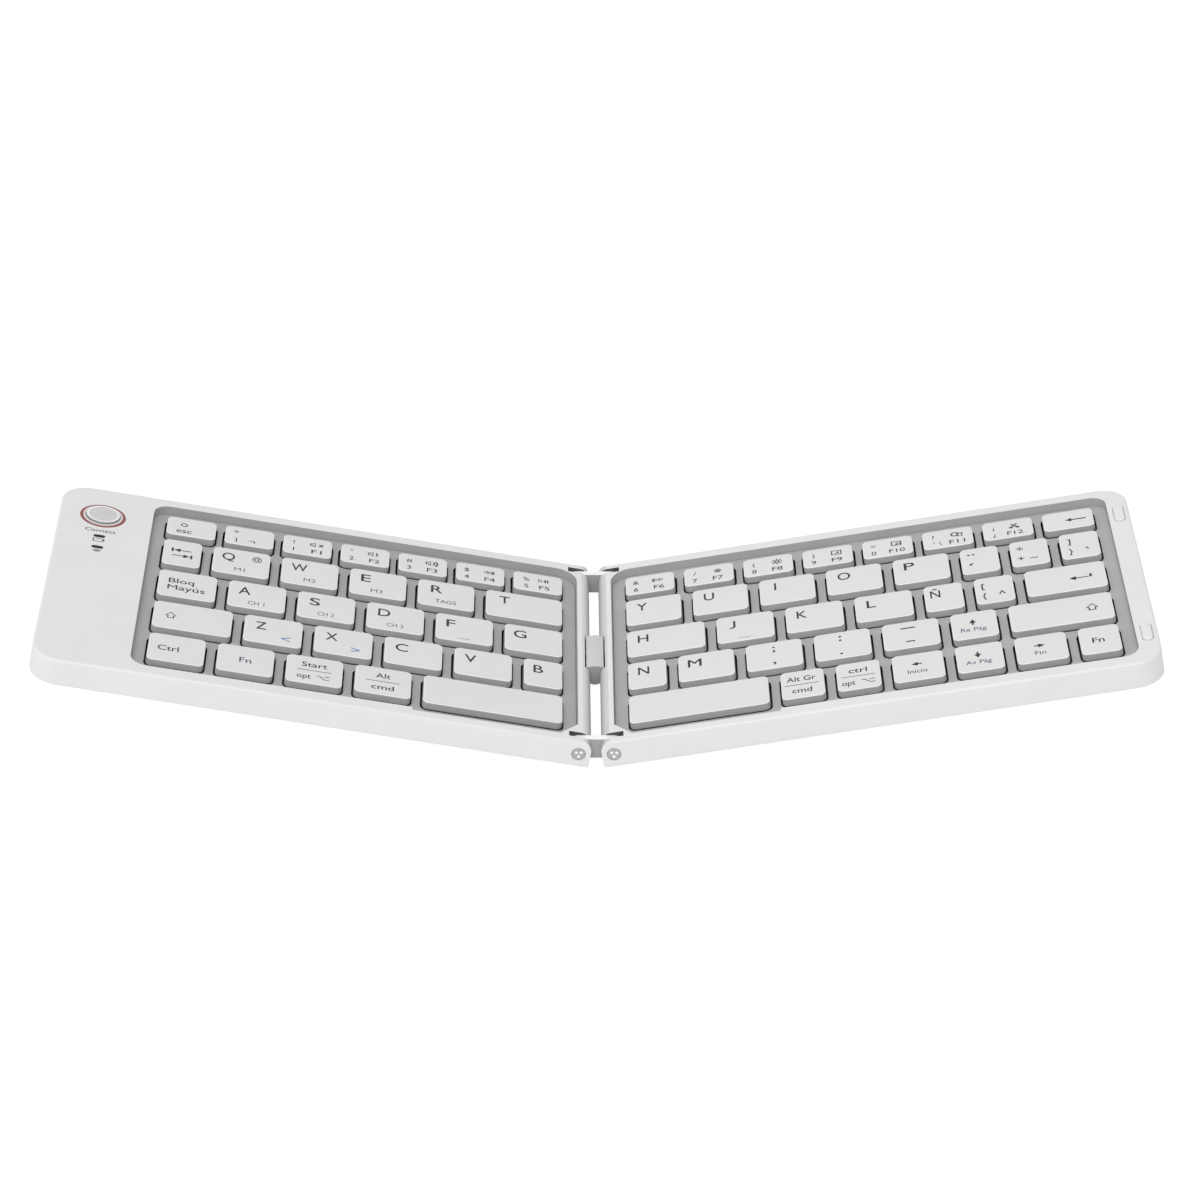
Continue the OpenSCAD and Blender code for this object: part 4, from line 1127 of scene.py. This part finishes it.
def make_cable():
    """The flat cable: one strip on each side of the hinge, bending round that side's pin."""
    length = PIVOT_X + CABLE_REACH
    for side in SIDES:
        bm = bmesh.new()
        bmesh.ops.create_cube(bm, size=1, matrix=Matrix.Diagonal((length, CABLE_W, CABLE_T, 1)))
        along = [e for e in bm.edges if abs(e.verts[0].co.x - e.verts[1].co.x) > 1]
        bmesh.ops.subdivide_edges(bm, edges=along, cuts=24, use_grid_fill=True)
        bmesh.ops.translate(bm, verts=bm.verts, vec=(side * length / 2, BOOT_V, PIVOT_Z - CABLE_DROP))
        for vert in bm.verts:
            past = side * vert.co.x - PIVOT_X
            if past > 0:
                vert.co.z += past * math.tan(FOLD)
        body = HALF_BODY[side]
        piece = finish_piece("flat_cable_" + body, bm, HINGE, CABLE, replaces=["flex_cable"])
        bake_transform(piece)


def make_pads():
    """The two soft pads in the right half's outer rim."""
    bm = bmesh.new()
    for v in (-PAD_V, PAD_V):
        add_block(bm, pill_block(PAD_SIZE, PAD_EDGE), Matrix.Translation((PAD_U, v, SHELL_T - PAD_SEAT)))
    finish_piece("soft_pads", bm, HALF[RIGHT], PAD, "right_half", ["buffer_pads"])


def make_feet():
    """Four feet under each half, near its ends."""
    turn = Matrix.Rotation(math.pi, 4, "X") @ Matrix.Rotation(math.pi / 2, 4, "Z")
    for side in SIDES:
        bm = bmesh.new()
        for u in FOOT_U:
            for v in (-FOOT_V, FOOT_V):
                add_block(bm, pill_block(FOOT_SIZE, FOOT_EDGE), Matrix.Translation((side * u, v, FOOT_SEAT)) @ turn)
        name = HAND[side] + "_feet"
        finish_piece(name + "_rubber", bm, HALF[side], RUBBER, HALF_BODY[side], [name])


# ---------- Stage ----------


def make_floor():
    """Paper that takes the object's shade and is seen as nearly white."""
    bm = bmesh.new()
    bmesh.ops.create_circle(bm, cap_ends=True, segments=96, radius=FLOOR_R)
    shader = Shader("floor_paper", 0.9)
    surface = shader.node("ShaderNodeBsdfDiffuse", Color=grey(240)).outputs[0]
    glow = shader.node("ShaderNodeEmission", Color=(1, 1, 1, 1), Strength=FLOOR_GLOW).outputs[0]
    share = shader.node("ShaderNodeMath", seen_rays(shader.tree), FLOOR_GLOW_SHARE, operation="MULTIPLY").outputs[0]
    mixed = shader.node("ShaderNodeMixShader", share, surface, glow)
    shader.tree.links.new(mixed.outputs[0], shader.tree.nodes["Material Output"].inputs["Surface"])
    place = HINGE @ Matrix.Translation((0, 0, -FLOOR_DROP))
    floor = finish_piece("floor", bm, place, shader.material, smooth=False)


def make_world():
    """A white room that is a little lighter on the left, and plain where it is seen."""
    world = bpy.data.worlds.new("studio")
    bpy.context.scene.world = world
    world.use_nodes = True
    tree = world.node_tree
    way = add_node(tree, "ShaderNodeTexCoord").outputs["Generated"]
    across_room = add_node(tree, "ShaderNodeSeparateXYZ", way).outputs["X"]
    left, right = ROOM_LIGHT + ROOM_SLOPE, ROOM_LIGHT - ROOM_SLOPE
    strength = add_node(tree, "ShaderNodeMapRange", across_room, -1, 1, left, right).outputs["Result"]
    room = tree.nodes["Background"]
    room.inputs["Color"].default_value = (1, 1, 1, 1)
    tree.links.new(strength, room.inputs["Strength"])
    plain = add_node(tree, "ShaderNodeBackground")
    mixed = add_node(tree, "ShaderNodeMixShader", seen_rays(tree), room.outputs[0], plain.outputs[0])
    tree.links.new(mixed.outputs[0], tree.nodes["World Output"].inputs["Surface"])


def make_lamp():
    """One wide lamp, high in front."""
    data = bpy.data.lights.new("key_lamp", "AREA")
    data.shape = "DISK"
    data.size = LAMP_SIZE
    data.energy = LAMP_POWER
    lamp = bpy.data.objects.new("key_lamp", data)
    lamp.location = LAMP_AT
    lamp.rotation_euler = (-Vector(LAMP_AT)).to_track_quat("-Z", "Y").to_euler()
    bpy.context.scene.collection.objects.link(lamp)


def make_camera():
    """A long lens that looks down on the open keyboard from the front."""
    data = bpy.data.cameras.new("camera")
    data.sensor_width = SENSOR_W
    data.lens = SENSOR_W * FOCAL_PIXELS / PICTURE_W
    data.shift_x = (PICTURE_W / 2 - MIDDLE_PIXEL) / PICTURE_W
    data.clip_start, data.clip_end = CAMERA_CLIP
    camera = bpy.data.objects.new("camera", data)
    bpy.context.scene.collection.objects.link(camera)
    place = Vector((CAMERA_SIDE, -BODY_D / 2 - CAMERA_AHEAD, PIVOT_Z + CAMERA_UP)) * MM
    tilt = Matrix.Rotation(math.pi / 2 - CAMERA_TILT, 4, "X") @ Matrix.Rotation(CAMERA_ROLL, 4, "Z")
    camera.matrix_world = Matrix.Translation(place) @ tilt
    bpy.context.scene.camera = camera


make_camera()
make_world()
make_floor()
make_lamp()

dress_nodes()
smooth_nodes()
for half_side in SIDES:
    print_caps(half_side)
    homing_bar(half_side)
print_strip()
make_domes()
make_boot()
make_cable()
make_pads()
make_feet()

bpy.context.scene.view_settings.view_transform = "Standard"
bpy.context.view_layer.update()
